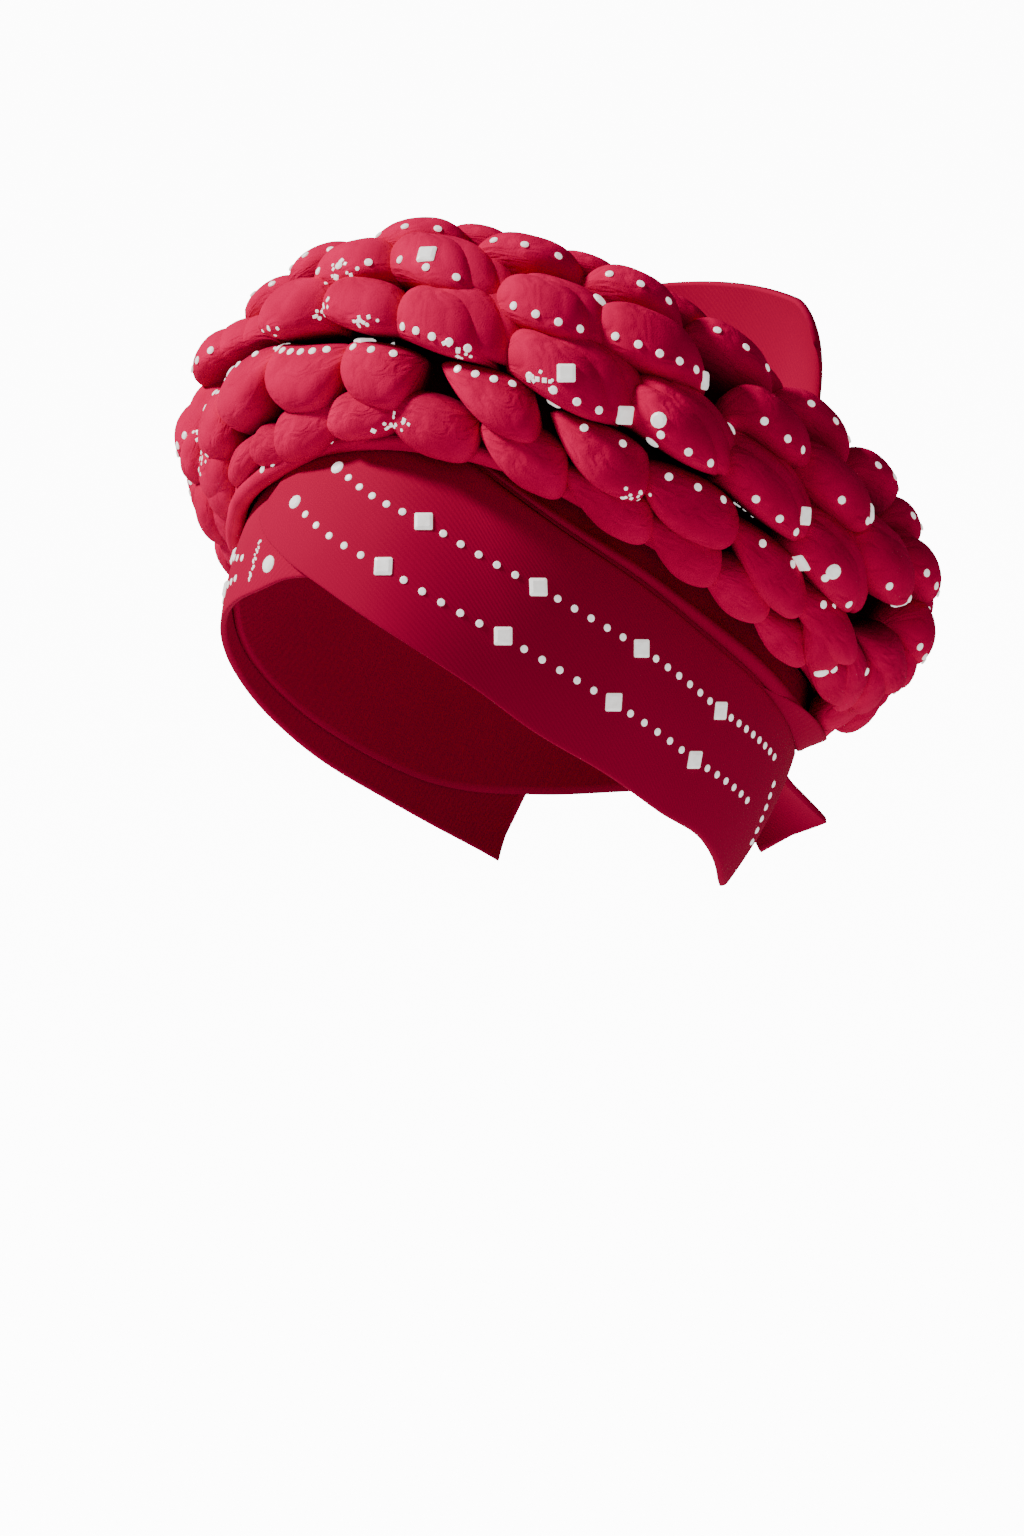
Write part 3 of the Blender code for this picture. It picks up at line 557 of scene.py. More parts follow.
def add_node(tree, kind, output, inputs=None, **settings):
    """One output of a new shader node that has these inputs and settings."""
    node = tree.nodes.new(kind)
    for name, value in settings.items():
        setattr(node, name, value)
    set_inputs(tree, node, inputs or {})
    return node.outputs[output]


def noise(tree, place, scale, detail, distortion=0.0):
    inputs = {"Vector": place, "Scale": scale, "Detail": detail, "Distortion": distortion}
    return add_node(tree, "ShaderNodeTexNoise", "Fac", inputs)


def blend(tree, share, first, second):
    """The colour that lies between two by a share."""
    inputs = {"Factor": share, "A": first, "B": second}
    return add_node(tree, "ShaderNodeMix", "Result", inputs, data_type="RGBA")


def bump(tree, height, strength, distance, **below):
    inputs = {"Height": height, "Strength": strength, "Distance": distance, **below}
    return add_node(tree, "ShaderNodeBump", "Normal", inputs)


def white_to_lens(tree, unseen):
    """LENS_WHITE as the camera sees it, and another strength for all other light."""
    seen = add_node(tree, "ShaderNodeLightPath", "Is Camera Ray")
    inputs = {"Value": seen, "To Min": unseen, "To Max": LENS_WHITE}
    return add_node(tree, "ShaderNodeMapRange", "Result", inputs)


def new_material(name):
    material = bpy.data.materials.new(name)
    material.use_nodes = True
    tree = material.node_tree
    shader = tree.nodes["Principled BSDF"]
    return material, tree, shader


def crepe_puff():
    """Crepe with a fine nap: soft grain, a little sheen, random changes of tone and painted shade near the
    pits.
    """
    material, tree, shader = new_material("crimson crepe, puffed, painted shade")
    place = add_node(tree, "ShaderNodeTexCoord", "Object")
    inputs = {"Value": noise(tree, place, 60.0, 3.0), "From Min": 0.3, "From Max": 0.7}
    patch = add_node(tree, "ShaderNodeMapRange", "Result", inputs)
    face = blend(tree, patch, linear(CRIMSON), linear(CRIMSON_LIT))
    # painted shade: the cloth's height share over the pit floor blends from the deep shade colour at the
    # pits to the full colour on top
    cloth = add_node(tree, "ShaderNodeUVMap", "UV", uv_map="cloth")
    height = add_node(tree, "ShaderNodeSeparateXYZ", "Y", {"Vector": cloth})
    inputs = {"Value": height, "From Min": 0.22, "From Max": 0.94}
    rise = add_node(tree, "ShaderNodeMapRange", "Result", inputs, interpolation_type="SMOOTHSTEP")
    stretched = add_node(tree, "ShaderNodeMapping", "Vector", {"Vector": cloth, "Scale": (1.6, 7.0, 1.0)})
    folds = bump(tree, noise(tree, stretched, 1.3, 2.0, 0.8), 0.55, 0.0025)
    inputs = {
        "Base Color": blend(tree, rise, linear(CRIMSON_PAINTED_SHADE), face),
        "Normal": bump(tree, noise(tree, place, 2400.0, 3.0), 0.45, 0.0004, Normal=folds),
        "Roughness": 0.95,
        "Specular IOR Level": 0.05,
        "Sheen Weight": 0.06,
        "Sheen Roughness": 0.6,
        "Sheen Tint": linear(CRIMSON_LIT),
    }
    set_inputs(tree, shader, inputs)
    return material


def crepe_smooth(name):
    """The same cloth pulled flat, where its fine diagonal lines show."""
    material, tree, shader = new_material(name)
    flat = add_node(tree, "ShaderNodeUVMap", "UV", uv_map="cloth")
    inputs = {"Vector": flat, "Scale": 260.0, "Distortion": 0.6, "Detail": 1.0, "Detail Scale": 2.0}
    settings = {"wave_type": "BANDS", "bands_direction": "DIAGONAL"}
    lines = add_node(tree, "ShaderNodeTexWave", "Fac", inputs, **settings)
    patch = noise(tree, add_node(tree, "ShaderNodeTexCoord", "Object"), 30.0, 2.0)
    inputs = {
        "Base Color": blend(tree, patch, linear(CRIMSON_FLAT_DARK), linear(CRIMSON_FLAT)),
        "Normal": bump(tree, lines, 0.25, 0.0002),
        "Roughness": 0.9,
        "Specular IOR Level": 0.08,
    }
    set_inputs(tree, shader, inputs)
    return material


def stone_material():
    """Foil-backed glass with a milky face, made to glow a little as painted light."""
    material, tree, shader = new_material("clear stone")
    cloud = noise(tree, add_node(tree, "ShaderNodeTexCoord", "Object"), 500.0, 2.0)
    colour = blend(tree, cloud, linear(STONE_WHITE), linear(STONE_GREY))
    # painted light: the stones glow a little in their own colour, so they stay white in shade
    inputs = {"Base Color": colour, "Emission Color": colour, "Emission Strength": 0.9, "Roughness": 0.3}
    set_inputs(tree, shader, inputs)
    return material


def grid_faces(rows, columns, close_rows=False, close_columns=False):
    """Quads of a rows x columns grid of points, wrapped round where asked."""
    r = np.arange(rows if close_rows else rows - 1)
    c = np.arange(columns if close_columns else columns - 1)
    r, c = np.meshgrid(r, c, indexing="ij")
    r, c = r.ravel(), c.ravel()
    nr, nc = (r + 1) % rows, (c + 1) % columns
    return np.stack([r * columns + c, r * columns + nc, nr * columns + nc, nr * columns + c], axis=1)


def tube_faces(steps, size, flip=False):
    """Faces of a closed tube of steps rings of size points, covered at both ends."""
    faces = [list(f) for f in grid_faces(steps, size, close_columns=True)]
    faces.append(list(range(size))[::-1])
    faces.append(list(range((steps - 1) * size, steps * size)))
    return [face[::-1] for face in faces] if flip else faces


def run_length(points):
    """How far along a line of points each of them lies."""
    return np.concatenate([[0], np.cumsum(np.linalg.norm(np.diff(points, axis=0), axis=-1))])


def uv_grid(u, v):
    return np.stack(np.broadcast_arrays(u, v), axis=-1)


def new_piece(name, points, faces, material, uv=None):
    """A smooth-shaded mesh object from arrays of points and faces, with its cloth coordinates."""
    mesh = bpy.data.meshes.new(name)
    mesh.from_pydata(points.reshape(-1, 3).tolist(), [], [list(map(int, f)) for f in faces])
    mesh.update()
    if uv is not None:
        layer = mesh.uv_layers.new(name="cloth")
        corner = np.empty(len(mesh.loops), dtype=np.int64)
        mesh.loops.foreach_get("vertex_index", corner)
        layer.data.foreach_set("uv", uv.reshape(-1, 2)[corner].astype(np.float32).ravel())
    mesh.materials.append(material)
    mesh.shade_smooth()
    piece = add_object(name, mesh)
    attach(piece, "root")
    return piece


def strip(name, turn, drop, inner, thickness, material, leftwards, edge=4):
    """A closed strip of cloth on the head form: rows of points along it, with rounded edges.

    turn and drop are (along, across) arrays; the strip's section is its outer face, a half circle over
    one edge, its inner face and a half circle over the other edge.
    """
    steps, count = turn.shape
    round_ = np.linspace(0, math.pi, edge + 2)[1:-1]
    bulge = np.sin(round_) * thickness / 2
    lift = np.cos(round_) * thickness / 2 + thickness / 2

    def run(columns, offset):
        return on_head(turn[:, columns], drop[:, columns], inner + offset)

    last, before = slice(count - 1, count), slice(count - 2, count - 1)
    outer = run(slice(None), thickness)
    tip = run(last, 0 * thickness)
    way = run(last, 0) - run(before, 0)
    way = way / np.linalg.norm(way, axis=-1, keepdims=True)
    top_edge = run(last, lift[None, :]) + way * bulge[None, :, None]
    inside = run(slice(None, None, -1), 0)
    way = run(slice(0, 1), 0) - run(slice(1, 2), 0)
    way = way / np.linalg.norm(way, axis=-1, keepdims=True)
    low_edge = run(slice(0, 1), lift[None, ::-1]) + way * bulge[None, :, None]
    loop = np.concatenate([outer, top_edge, inside, low_edge], axis=1)
    uv = uv_grid(run_length(tip[:, 0])[:, None], run_length(loop[steps // 2]))
    return new_piece(name, loop, tube_faces(steps, loop.shape[1], leftwards), material, uv)


def band(name, rows, offset, material, leftwards):
    rows = np.array(rows, float)
    read = smooth_table(np.column_stack([np.linspace(0, 1, len(rows)), rows]))
    along = np.linspace(0, 1, 260)
    lines = read(along)
    share = np.linspace(0, 1, 48)
    turn = lines[:, 0:1] + (lines[:, 2:3] - lines[:, 0:1]) * share
    drop = (lines[:, 1:2] + (lines[:, 3:4] - lines[:, 1:2]) * share) * BAND_DROP
    return strip(name, turn, drop, offset(along)[:, None], BAND_CLOTH, material, leftwards)


def inner_cap(material):
    """The fitted cap: rings of points from the top of the head to its hem, outside and inside."""
    turns, rings = 160, 70
    turn = np.arange(turns) * 360.0 / turns
    hem = smooth_table(CAP_HEM)(np.abs((turn + 180) % 360 - 180))[:, 0] * BAND_DROP
    deep = np.where(hem > HEAD_UPPER_HALF, HEAD_LOWER_HALF, HEAD_UPPER_HALF)
    hem_angle = np.arccos(np.clip((HEAD_UPPER_HALF - hem) / deep, -1, 1))
    share = np.linspace(0.012, 1, rings)[:, None]
    angle = hem_angle * share
    half = np.where(angle > math.pi / 2, HEAD_LOWER_HALF, HEAD_UPPER_HALF)
    drop = HEAD_UPPER_HALF - half * np.cos(angle)
    outside = on_head(turn, drop, CAP_CLOTH)
    inside = on_head(turn, drop, 0.0)[::-1]
    loop = np.concatenate([outside, inside], axis=0)
    uv = uv_grid(turn * 0.0015, np.linspace(0, 0.3, 2 * rings)[:, None])
    return new_piece("cap", loop, tube_faces(2 * rings, turns, flip=True), material, uv)


def band_edge(turn):
    """Drop, in metres, of the line that the side wrap stands on, at turns from 44 to 275."""
    left = [(row[2], row[3]) for row in LEFT_BAND_SECTIONS if row[2] > 40]
    right = [(row[2] + 360, row[3]) for row in RIGHT_BAND_SECTIONS if row[2] < -70]
    return smooth_table(left + NAPE_EDGE + right[::-1])(turn)[..., 0] * BAND_DROP


def side_wrap(material):
    """A soft roll of two folds: a closed loop of points at each section, capped at both ends."""
    steps, count = 320, 56
    turn = np.linspace(WRAP_SECTIONS[0][0], WRAP_SECTIONS[-1][0], steps)
    shares = smooth_table(WRAP_SECTIONS)(turn)
    low = band_edge(turn) - WRAP_SEAM
    high = low - shares[:, 0] * BAND_DROP
    roll = shares[:, 1:2] * WRAP_ROLL
    inner = CAP_CLOTH + GAP + (TAIL_CLOTH + GAP) * ease(1.6 - np.abs(turn - 168) / 32)
    inner = inner[:, None]
    share = np.linspace(0, 1, count)
    drop = low[:, None] + (high - low)[:, None] * share
    ring_turn, _, ring_height = to_ring(on_head(turn[:, None], drop, inner))
    _, middle, half_height, _ = ring_section(ring_turn)
    hang = middle - half_height - WRAP_SEAM
    room = np.maximum((hang - ring_height) / np.maximum((hang - ring_height)[:, :1], 0.010), 0.0)
    groove = 0.80 * np.exp(-(((room - 0.36) / 0.07) ** 2)) + 0.40 * np.exp(-(((room - 0.72) / 0.06) ** 2))
    groove = groove * ease((120 - turn) / 18)[:, None]
    folds = np.sqrt(np.clip(room * (1.0 - room) * 4, 0, 1)) * (1 - groove) * ease(share * 9)
    outer = inner + 0.0012 + roll * folds
    outside = on_head(turn[:, None], drop, outer)
    inside = on_head(turn[:, None], drop[:, ::-1], inner)
    loop = np.concatenate([outside, inside], axis=1)
    size = 2 * count
    uv = uv_grid(turn[:, None] * 0.0016, np.linspace(0, 0.06, size))
    cord = 18
    angle = np.arange(cord) * math.tau / cord
    thick = shares[:, 1:2] * WRAP_CORD
    beside = low[:, None] - WRAP_SEAM - thick * (1 + np.sin(angle))
    tube = on_head(turn[:, None], beside, inner + thick * (1 + np.cos(angle)))
    tube_uv = uv_grid(turn[:, None] * 0.0016, angle * WRAP_CORD)
    parts = [(loop, tube_faces(steps, size, flip=True)), (tube, tube_faces(steps, cord, flip=True))]
    points, faces = join(parts)
    uv = np.concatenate([uv.reshape(-1, 2), tube_uv.reshape(-1, 2)])
    return new_piece("side_wrap_folds", points, faces, material, uv)


def sheet_shell(name, surface, thickness, material, flip=False):
    """A closed shell from a grid of points: both faces of the cloth and a rim round them."""
    rows, columns = surface.shape[:2]
    along = np.gradient(surface, axis=0)
    across = np.gradient(surface, axis=1)
    normal = np.cross(along, across)
    normal /= np.linalg.norm(normal, axis=-1, keepdims=True)
    if flip:
        normal = -normal
    both = np.concatenate([surface[None], (surface + normal * thickness)[None]])
    count = rows * columns
    front = grid_faces(rows, columns)
    back = front[:, ::-1] + count
    border = np.concatenate(
        [
            np.arange(columns),
            np.arange(1, rows) * columns + columns - 1,
            (rows - 1) * columns + np.arange(columns - 2, -1, -1),
            np.arange(rows - 2, 0, -1) * columns,
        ]
    )
    following = np.roll(border, -1)
    rim = np.stack([following, border, border + count, following + count], axis=1)
    faces = np.concatenate([front, back, rim])
    if not flip:
        faces = faces[:, ::-1]
    uv = uv_grid(run_length(surface[:, columns // 2])[:, None], run_length(surface[rows // 2]))
    return new_piece(name, both, faces, material, np.stack([uv, uv]))


def back_fan(material):
    across = np.linspace(-1, 1, 161)
    across = np.sign(across) * (1 - (1 - np.abs(across)) ** 1.6)
    across = across[:, None]
    up = np.linspace(0, 1, 90)[None, :]
    foot = on_head(180 - across * FAN_FOOT_TURN, FAN_FOOT_DROP + 0.006 * across**2, CAP_CLOTH + GAP)
    brim = np.stack([across * FAN_HALF_WIDTH, FAN_BACK - FAN_HOLLOW * across**2, 0 * across], axis=-1)
    spread = ease(up)[..., None]
    flat = foot * (1 - spread) + brim * spread
    from_edge = (1 - np.abs(across)) * FAN_HALF_WIDTH
    over = np.clip(1 - from_edge / FAN_CORNER_RADIUS, 0, 1)
    corner = FAN_CORNER_RADIUS * (1 - np.sqrt(1 - over**2))
    height = (FAN_TOP + FAN_FOOT_DROP - corner) * up
    points = np.stack([flat[..., 0], flat[..., 1], foot[..., 2] + height], axis=-1)
    return sheet_shell("back_flap", points, FAN_CLOTH, material)


def back_tail(material):
    rows = np.array(TAIL_SECTIONS, float)
    read = smooth_table(np.column_stack([np.linspace(0, 1, len(rows)), rows]))
    lines = read(np.linspace(0, 1, 60))
    share = np.linspace(0, 1, 40)
    turn = lines[:, 0:1] + (lines[:, 1:2] - lines[:, 0:1]) * share
    drop = lines[:, 2:3] + (lines[:, 3:4] - lines[:, 2:3]) * share
    lift = CAP_CLOTH + GAP + (lines[:, 4:5] + (lines[:, 5:6] - lines[:, 4:5]) * share) * TAIL_LIFT
    points = on_head(turn, drop * BAND_DROP, lift)
    return sheet_shell("tail_end", points, TAIL_CLOTH, material, flip=True)


def closed_curve(rows, count):
    """Points evenly set along a smooth closed curve through the rows of a table."""
    rows = np.array(rows, float)
    place = np.arange(len(rows), dtype=float)
    table = np.column_stack([place, rows])
    return smooth_table(table, closed_turn=len(rows))(np.linspace(0, len(rows), count, endpoint=False))


def crown_core(material):
    """The floor between the puffs, in the painted shade colour: the crown's form sunk by the depth of the
    pits.
    """
    turn = np.linspace(0, 360, 240, endpoint=False)[:, None]
    across = np.linspace(-90, 252, 90)[None, :]
    near_hem = ease((-across - 50) / 25) * ease((across + 110) / 12)
    sink = PIT_FLOOR - (PIT_FLOOR - HEM_SINK) * near_hem + 0 * turn
    points = on_crown(turn + 0 * across, across + 0 * turn, sink)
    faces = grid_faces(240, 90, close_rows=True, close_columns=True)[:, ::-1]
    # painted shade: 0 takes the deep shade colour, 1 the full colour, only in a band on the underside below
    # the hem
    height = ease((-across - 62) / 14) * ease((across + 120) / 12) + 0 * turn
    uv = np.stack([turn / 360 + 0 * across, height], axis=-1)
    return new_piece("crown_core", points, faces, material, uv)


def hem_line(turn):
    """How far each turn belongs to the front, where the hem lies closer, and the hem's height and wall."""
    turn = np.asarray(turn, float)
    away = np.abs((turn - HEM_FRONT_TURN + 180) % 360 - 180)
    at_front = ease(1.5 - away / HEM_FRONT_SPREAD)
    foot = ring_section(turn)[3] + HEM_ROLL - HEM_FRONT_DROP * at_front
    wall = wall_radius(turn, foot, under_crown(turn, 0 * turn) + GAP - HEM_FRONT_CLOSER * at_front)
    return at_front, foot, wall


def crown_hem(material):
    """A narrow rolled hem where the crown is sewn down over the bands and the wrap."""
    steps, count = 360, 14
    turn = np.linspace(0, 360, steps, endpoint=False)
    angle = np.arange(count) * math.tau / count
    at_front, foot, wall = hem_line(turn)
    roll = HEM_ROLL * (1 + 0.5 * at_front)[:, None]
    radius = wall[:, None] + roll * (1.1 + np.cos(angle))
    height = foot[:, None] + roll * np.sin(angle)
    points = from_ring(turn[:, None], radius, height)
    faces = grid_faces(steps, count, close_rows=True, close_columns=True)
    uv = np.ones((steps, count, 2))
    return new_piece("crown_hem", points, faces, material, uv)


def puff_surface(kind, turn, across, width, body, lean, skew, sag, height, u, outline):
    """The puff's points at u from -1 to 1 along its lip, for each (along, height) of its outline.

    In plan it is a half oval: its body is body * (1 - |u|^2.2)^(1/2) long at u. Its ends keep a share
    of its height, and its lip hangs sag lower in the middle than at the ends, along a parabola.
    """
    core, _, half_height, _ = section_at(turn)
    at = math.radians(across)
    outside = math.cos(at) > 0
    radius = core + (RING_OUTER_HALF if outside else RING_INNER_HALF) * math.cos(at)
    girth = math.hypot(RING_OUTER_HALF * math.sin(at), half_height * math.cos(at))
    side = 1.0 if kind == "dome" else -1.0
    lip = np.array([math.cos(math.radians(lean)), math.sin(math.radians(lean))])
    hang = np.array([math.sin(math.radians(skew)), side * math.cos(math.radians(skew))])
    u = u[:, None]
    full = (1 - np.abs(u) ** 2.8) ** 0.5
    rise = PUFF_END + (1 - PUFF_END) * (1 - np.abs(u) ** 2.6) ** 0.6
    along = outline[:, 0] * body * full + side * sag * u**2
    plane = u[..., None] * width / 2 * lip + along[..., None] * hang
    at_turn = turn + np.degrees(plane[..., 0] / radius)
    at_across = across + np.degrees(plane[..., 1] / girth)
    sink = PUFF_DEPTH - PUFF_DEPTH * height * rise * outline[:, 1]
    return on_crown(at_turn, at_across, sink)


def all_puffs():
    """The puffs of the table and of the rows. Those of the rows vary a little from one to the next."""
    puffs = [list(row) for row in PUFFS]
    chance = np.random.default_rng(11)
    for row, kind, first, last, count, across, width, body, lean, skew, *rest in PUFF_ROWS:
        for turn in np.linspace(first, last, count):
            a, b, c, d = chance.uniform(-1, 1, 4)
            puffs.append(
                [row, kind, turn + 1.2 * a, across + 2 * b, width * (1 + 0.05 * c), body * (1 + 0.07 * d)]
                + [lean + 6 * b, skew + 8 * c, *rest]
            )
    return puffs


def cut_stone(middle, outwards, upwards, size, square):
    """Points and faces of a cut stone with a flat table: eight facets, or twelve on a round one."""
    outwards = outwards / np.linalg.norm(outwards)
    side = np.cross(upwards, outwards)
    side /= np.linalg.norm(side)
    upwards = np.cross(outwards, side)
    if square:
        bevel = 0.86
        lower = [(-1, -bevel), (-bevel, -1), (bevel, -1), (1, -bevel)]
        upper = [(1, bevel), (bevel, 1), (-bevel, 1), (-1, bevel)]
        ring = np.array(lower + upper)
    else:
        angle = np.arange(12) * math.tau / 12
        ring = np.stack([np.cos(angle), np.sin(angle)], axis=1)
    half = size / 2
    levels = [(1.0, -0.22), (1.0, 0.05), (0.93, 0.14), (0.66, 0.30)]
    points = []
    for share, lift in levels:
        flat = ring * half * share
        points.append(middle + flat[:, :1] * side + flat[:, 1:] * upwards + lift * half * outwards)
    return np.concatenate(points), tube_faces(len(levels), len(ring))


def join(parts):
    """One set of points and faces from many."""
    points, faces, start = [], [], 0
    for some, their in parts:
        points.append(some.reshape(-1, 3))
        faces.extend([[i + start for i in face] for face in their])
        start += len(points[-1])
    return np.concatenate(points), faces


def crown_puffs(material):
    """All puffs, joined row by row, and the small stones along their lips, each as points and faces."""
    across_count, outline_count = ((33, 34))
    u = np.sin(np.linspace(-math.pi / 2, math.pi / 2, across_count)) * 0.9995
    outlines = {kind: closed_curve(rows, outline_count) for kind, rows in PUFF_OUTLINES.items()}
    faces = {kind: tube_faces(across_count, outline_count, kind == "dome") for kind in outlines}
    rows, shades, dots = {}, {}, []
    for row, kind, turn, across, width, body, lean, skew, sag, collar, dot_count in all_puffs():
        width, body, sag = width * FULLNESS / 1000, body * FULLNESS / 1000, sag / 1000
        high = BELLY_HEIGHT if kind == "belly" else TOP_HEIGHT if row in ("upper", "top") else DOME_HEIGHT
        made = [(turn, across, width, body, high)]
        if collar:
            made.append((turn + 2.5, across + 4.0, width * 1.12, body * 1.22, high - 0.16))
            made.append((turn + 4.5, across + 8.0, width * 1.18, body * 1.36, high - 0.32))
        for at_turn, at_across, wide, long, height in made:
            points = puff_surface(
                kind, at_turn, at_across, wide, long, lean, skew, sag, height, u, outlines[kind]
            )
            rows.setdefault(row, []).append((points, faces[kind]))
            # the height share in the cloth coordinates sets the painted shade of the puffed crepe
            shade = uv_grid(u[:, None], outlines[kind][:, 1])
            shades.setdefault(row, []).append(shade.reshape(-1, 2))
        if dot_count:
            shares = (np.arange(dot_count) + 0.5) / dot_count * 1.5 - 0.75
            step = 0.02
            near = np.array(DOT_PLACES[kind])
            for share in shares:
                beside = share + np.array([0, step])
                spot = puff_surface(
                    kind, turn, across, width, body, lean, skew, sag, high, beside, near
                )
                along, body_way = spot[1, 0] - spot[0, 0], spot[0, 1] - spot[0, 0]
                outwards = np.cross(along, body_way) * (1 if kind == "dome" else -1)
                dots.append(cut_stone(spot[0, 0], outwards, body_way, CROWN_DOT, False))
    pieces = []
    for row, parts in rows.items():
        points, joined = join(parts)
        piece = new_piece(f"puffs_{row}", points, joined, material, np.concatenate(shades[row]))
        pieces.append(piece)
    return pieces, dots


def cast(surface, start, way):
    """Where a ray meets a surface and the way out there, on the side it comes from, or None twice."""
    hit, normal, _, _ = surface.ray_cast(Vector(start), Vector(way))
    if hit is None:
        return None, None
    hit, outwards = np.array(hit), np.array(normal)
    return hit, -outwards if outwards @ (start - hit) < 0 else outwards


def on_surface(surface, turn, across):
    """Where a line towards the ring's core meets the crown, and which way is out there."""
    core, middle, half_height, _ = section_at(turn)
    at = math.radians(across)
    reach = from_ring(turn, core + 0.045 * math.cos(at), middle + (half_height + 0.016) * math.sin(at))
    return cast(surface, reach, from_ring(turn, core, middle) - reach)


def small_crown_stones(crown, dots, stone):
    """The beads of the lips and the hem, and the broken stones at the knots, as one piece."""
    surface = surface_of(crown)
    parts = list(dots)
    for turn in HEM_DOTS:
        at_front, foot, wall = (float(part[0]) for part in hem_line(np.array([turn])))
        inwards = from_ring(turn, wall, foot)
        middle = from_ring(turn, wall + HEM_ROLL * (2.1 + at_front), foot)
        parts.append(cut_stone(middle, middle - inwards, RING_AXES[:, 2], HEM_DOT, False))
    chance = np.random.default_rng(5)
    for turn, across, count in KNOTS:
        for aside, along, size in chance.normal(0, 1, (count, 3)):
            middle, outwards = on_surface(surface, turn + 1.5 * aside, across + 2.2 * along)
            if middle is not None:
                upwards = CAMERA_UP + 0.5 * chance.normal(0, 1, 3)
                parts.append(cut_stone(middle, outwards, upwards, FLECK * (1 + 0.3 * abs(size)), size > 0))
    points, faces = join(parts)
    beads = new_piece("crown_dots", points, faces, stone)
    beads.data.shade_flat()
    return beads


def band_dots(bands, stone):
    """Small stones between the large ones: points at even shares of the way, dropped on the band."""
    surface = surface_of(bands)
    parts = []
    for first_turn, first_drop, last_turn, last_drop, count in BAND_DOT_LINES:
        for share in (np.arange(count) + 1.2) / (count + 1.4):
            turn = first_turn + (last_turn - first_turn) * share
            drop = (first_drop + (last_drop - first_drop) * share) * BAND_DROP
            above = on_head(turn, drop, 0.02)
            hit, outwards = cast(surface, above, on_head(turn, drop, 0.0) - above)
            if hit is not None:
                parts.append(cut_stone(hit, outwards, CAMERA_UP, BAND_DOT, False))
    chance = np.random.default_rng(3)
    for first_turn, first_drop, last_turn, last_drop, count in BAND_FLECKS:
        for share, aside, along in chance.uniform(-1, 1, (count, 3)):
            middle_turn, half_turn = (first_turn + last_turn) / 2, (last_turn - first_turn) / 2
            middle_drop, half_drop = (first_drop + last_drop) / 2, (last_drop - first_drop) / 2
            turn = middle_turn + half_turn * share + 0.6 * aside
            drop = (middle_drop + half_drop * share + 0.008 * along) * BAND_DROP
            above = on_head(turn, drop, 0.02)
            hit, _ = cast(surface, above, on_head(turn, drop, 0.0) - above)
            if hit is not None:
                parts.append(cut_stone(hit, above - hit, CAMERA_UP, FLECK, aside > 0))
    points, faces = join(parts)
    dots = new_piece("band_dots", points, faces, stone)
    dots.data.shade_flat()
    return dots


def surface_of(pieces):
    """The faces of some pieces, as a tree that answers rays."""
    points, faces, start = [], [], 0
    for piece in pieces:
        mesh = piece.data
        points.extend([vertex.co.copy() for vertex in mesh.vertices])
        faces.extend([tuple(i + start for i in polygon.vertices) for polygon in mesh.polygons])
        start = len(points)
    return BVHTree.FromPolygons(points, faces)


def node_stones(crown, bands, stone):
    """A cut stone in place of each of the model's stones, set on the cloth where the model has it."""
    crown, bands = surface_of(crown), surface_of(bands)
    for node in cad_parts:
        if not node.startswith("stone_"):
            continue
        low, high = (np.array(corner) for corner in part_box(node))
        middle = (low + high) / 2
        if "crown" in node:
            turn, _, _ = to_ring(middle)
            core, half_way, _, _ = section_at(turn)
            inwards = from_ring(float(turn), core, half_way) - middle
            surface = crown
        else:
            inwards = head_centre() - middle
            inwards[2] *= 0.6
            surface = bands
        inwards /= np.linalg.norm(inwards)
        hit, outwards = cast(surface, middle - inwards * 0.012, inwards)
        if hit is None:
            hit, outwards = middle, -inwards
        square = "round" not in node and "tip" not in node and "first" not in node
        size = SQUARE_STONE if square else float(np.sort(high - low)[-1])
        points, faces = cut_stone(hit, outwards, CAMERA_UP, size, square)
        piece = new_piece(node.replace("stone", "set_stone"), points, faces, stone)
        piece.data.shade_flat()
        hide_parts(node)


def camera_axes():
    """The camera's right, up and backward directions, and where it stands."""
    turn, height, roll = (math.radians(a) for a in (CAMERA_TURN, CAMERA_HEIGHT, CAMERA_ROLL))
    backward = np.array(
        [math.sin(turn) * math.cos(height), -math.cos(turn) * math.cos(height), math.sin(height)]
    )
    level_right = np.array([math.cos(turn), math.sin(turn), 0.0])
    level_up = np.cross(backward, level_right)
    right = math.cos(roll) * level_right - math.sin(roll) * level_up
    up = math.sin(roll) * level_right + math.cos(roll) * level_up
    aside = (ORIGIN_PIXEL[0] - MIDDLE_PIXEL[0]) * PIXEL
    below = (ORIGIN_PIXEL[1] - MIDDLE_PIXEL[1]) * PIXEL
    eye = backward * CAMERA_DISTANCE - right * aside + up * below
    return right, up, backward, eye


def place_camera():
    right, up, backward, eye = camera_axes()
    data = bpy.data.cameras.new("photo view")
    camera = add_object("photo view", data)
    matrix = np.eye(4)
    matrix[:3, 0], matrix[:3, 1], matrix[:3, 2], matrix[:3, 3] = right, up, backward, eye
    camera.matrix_world = Matrix(matrix.tolist())
    data.sensor_fit = "VERTICAL"
    data.sensor_height = 36.0
    data.lens = data.sensor_height * CAMERA_DISTANCE / (PIXEL * PICTURE_HEIGHT)
    bpy.context.scene.camera = camera


def area_light(name, place, size, power):
    data = bpy.data.lights.new(name, "AREA")
    data.energy = power
    data.size = size
    light = add_object(name, data)
    light.location = place
    target = Vector((0.0, 0.0, -0.08))
    light.rotation_euler = (target - Vector(place)).to_track_quat("-Z", "Y").to_euler()


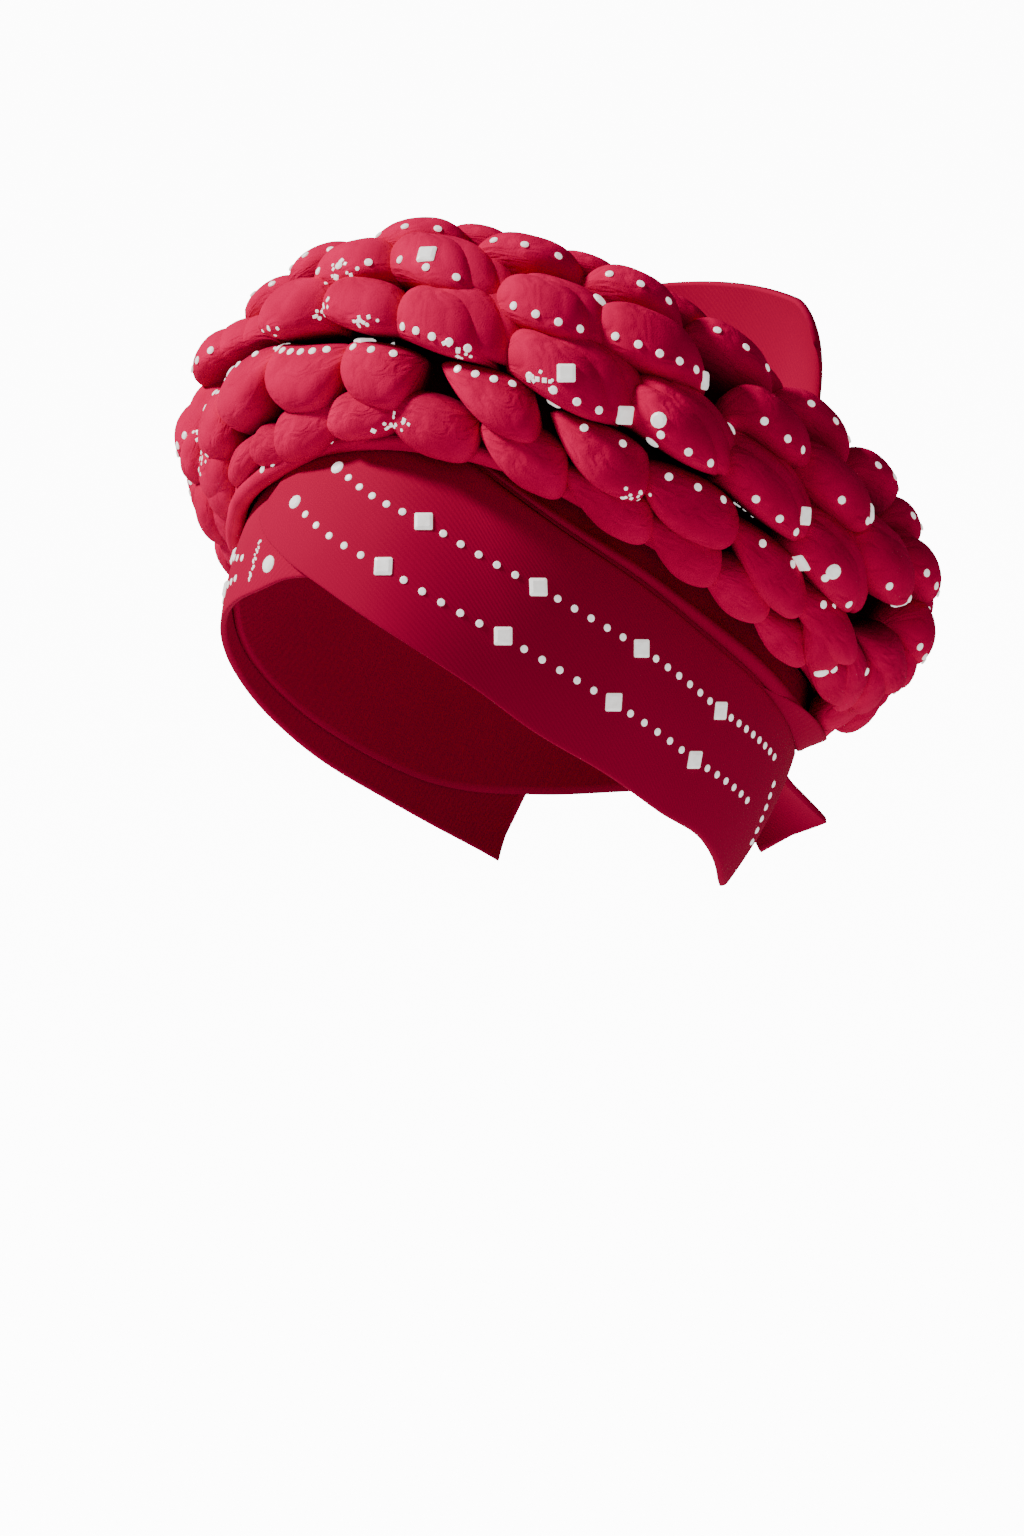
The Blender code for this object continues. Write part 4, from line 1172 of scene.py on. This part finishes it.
def light_scene():
    """A white surround, bright to the lens and dim to the cloth, and a soft key from the upper left."""
    world = bpy.data.worlds.new("white surround")
    world.use_nodes = True
    tree = world.node_tree
    inputs = {"Color": linear(PAPER_WHITE), "Strength": white_to_lens(tree, SURROUND_LIGHT)}
    set_inputs(tree, tree.nodes["Background"], inputs)
    bpy.context.scene.world = world
    right, up, backward, _ = camera_axes()
    area_light("key", backward * 0.55 - right * 2.4 + up * 2.1, 0.45, 172.0)
    area_light("fill", backward * 1.8 + right * 0.3 + up * 0.2, 0.8, 3.5)


def pale_floor():
    """A plain floor, far below, as pale as the surround."""
    corners = np.array([(-1, -1), (1, -1), (1, 1), (-1, 1)]) * FLOOR_REACH
    points = np.column_stack([corners, np.full(len(corners), -FLOOR_DROP)])
    mesh = bpy.data.meshes.new("pale floor")
    mesh.from_pydata(points.tolist(), [], [(0, 1, 2, 3)])
    floor = add_object("pale floor", mesh)
    material, tree, shader = new_material("white paper")
    white = linear(PAPER_WHITE)
    inputs = {"Base Color": white, "Roughness": 1.0, "Emission Color": white}
    set_inputs(tree, shader, {**inputs, "Emission Strength": white_to_lens(tree, 0.0)})
    mesh.materials.append(material)


CAMERA_UP = camera_axes()[1]

place_camera()
light_scene()
pale_floor()

puffed = crepe_puff()
smooth = crepe_smooth("crimson crepe, flat")
stone = stone_material()

under = CAP_CLOTH + GAP
over = under + BAND_CLOTH + GAP

cap = inner_cap(smooth)
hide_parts("inner_cap")
right_band = band("right_band", RIGHT_BAND_SECTIONS, lambda share: np.full_like(share, under), smooth, False)
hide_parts("front_band_right")
left_band = band(
    "left_band",
    LEFT_BAND_SECTIONS,
    lambda share: under + (over - under) * ease((0.46 - share) / 0.16),
    smooth,
    True,
)
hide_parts("front_band_left")
wrap = side_wrap(smooth)
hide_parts("side_wrap")
fan = back_fan(smooth)
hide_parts("back_fan")
tail = back_tail(smooth)
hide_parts("back_tail")
core = crown_core(puffed)
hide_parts("puff_crown")
hem = crown_hem(puffed)
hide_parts("puff_crown")
puffs, lip_dots = crown_puffs(puffed)
for piece in puffs:
    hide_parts("puff_crown")
beads = small_crown_stones([core, hem, *puffs], lip_dots, stone)
node_stones(puffs, [left_band, right_band], stone)
dots = band_dots([left_band, right_band], stone)
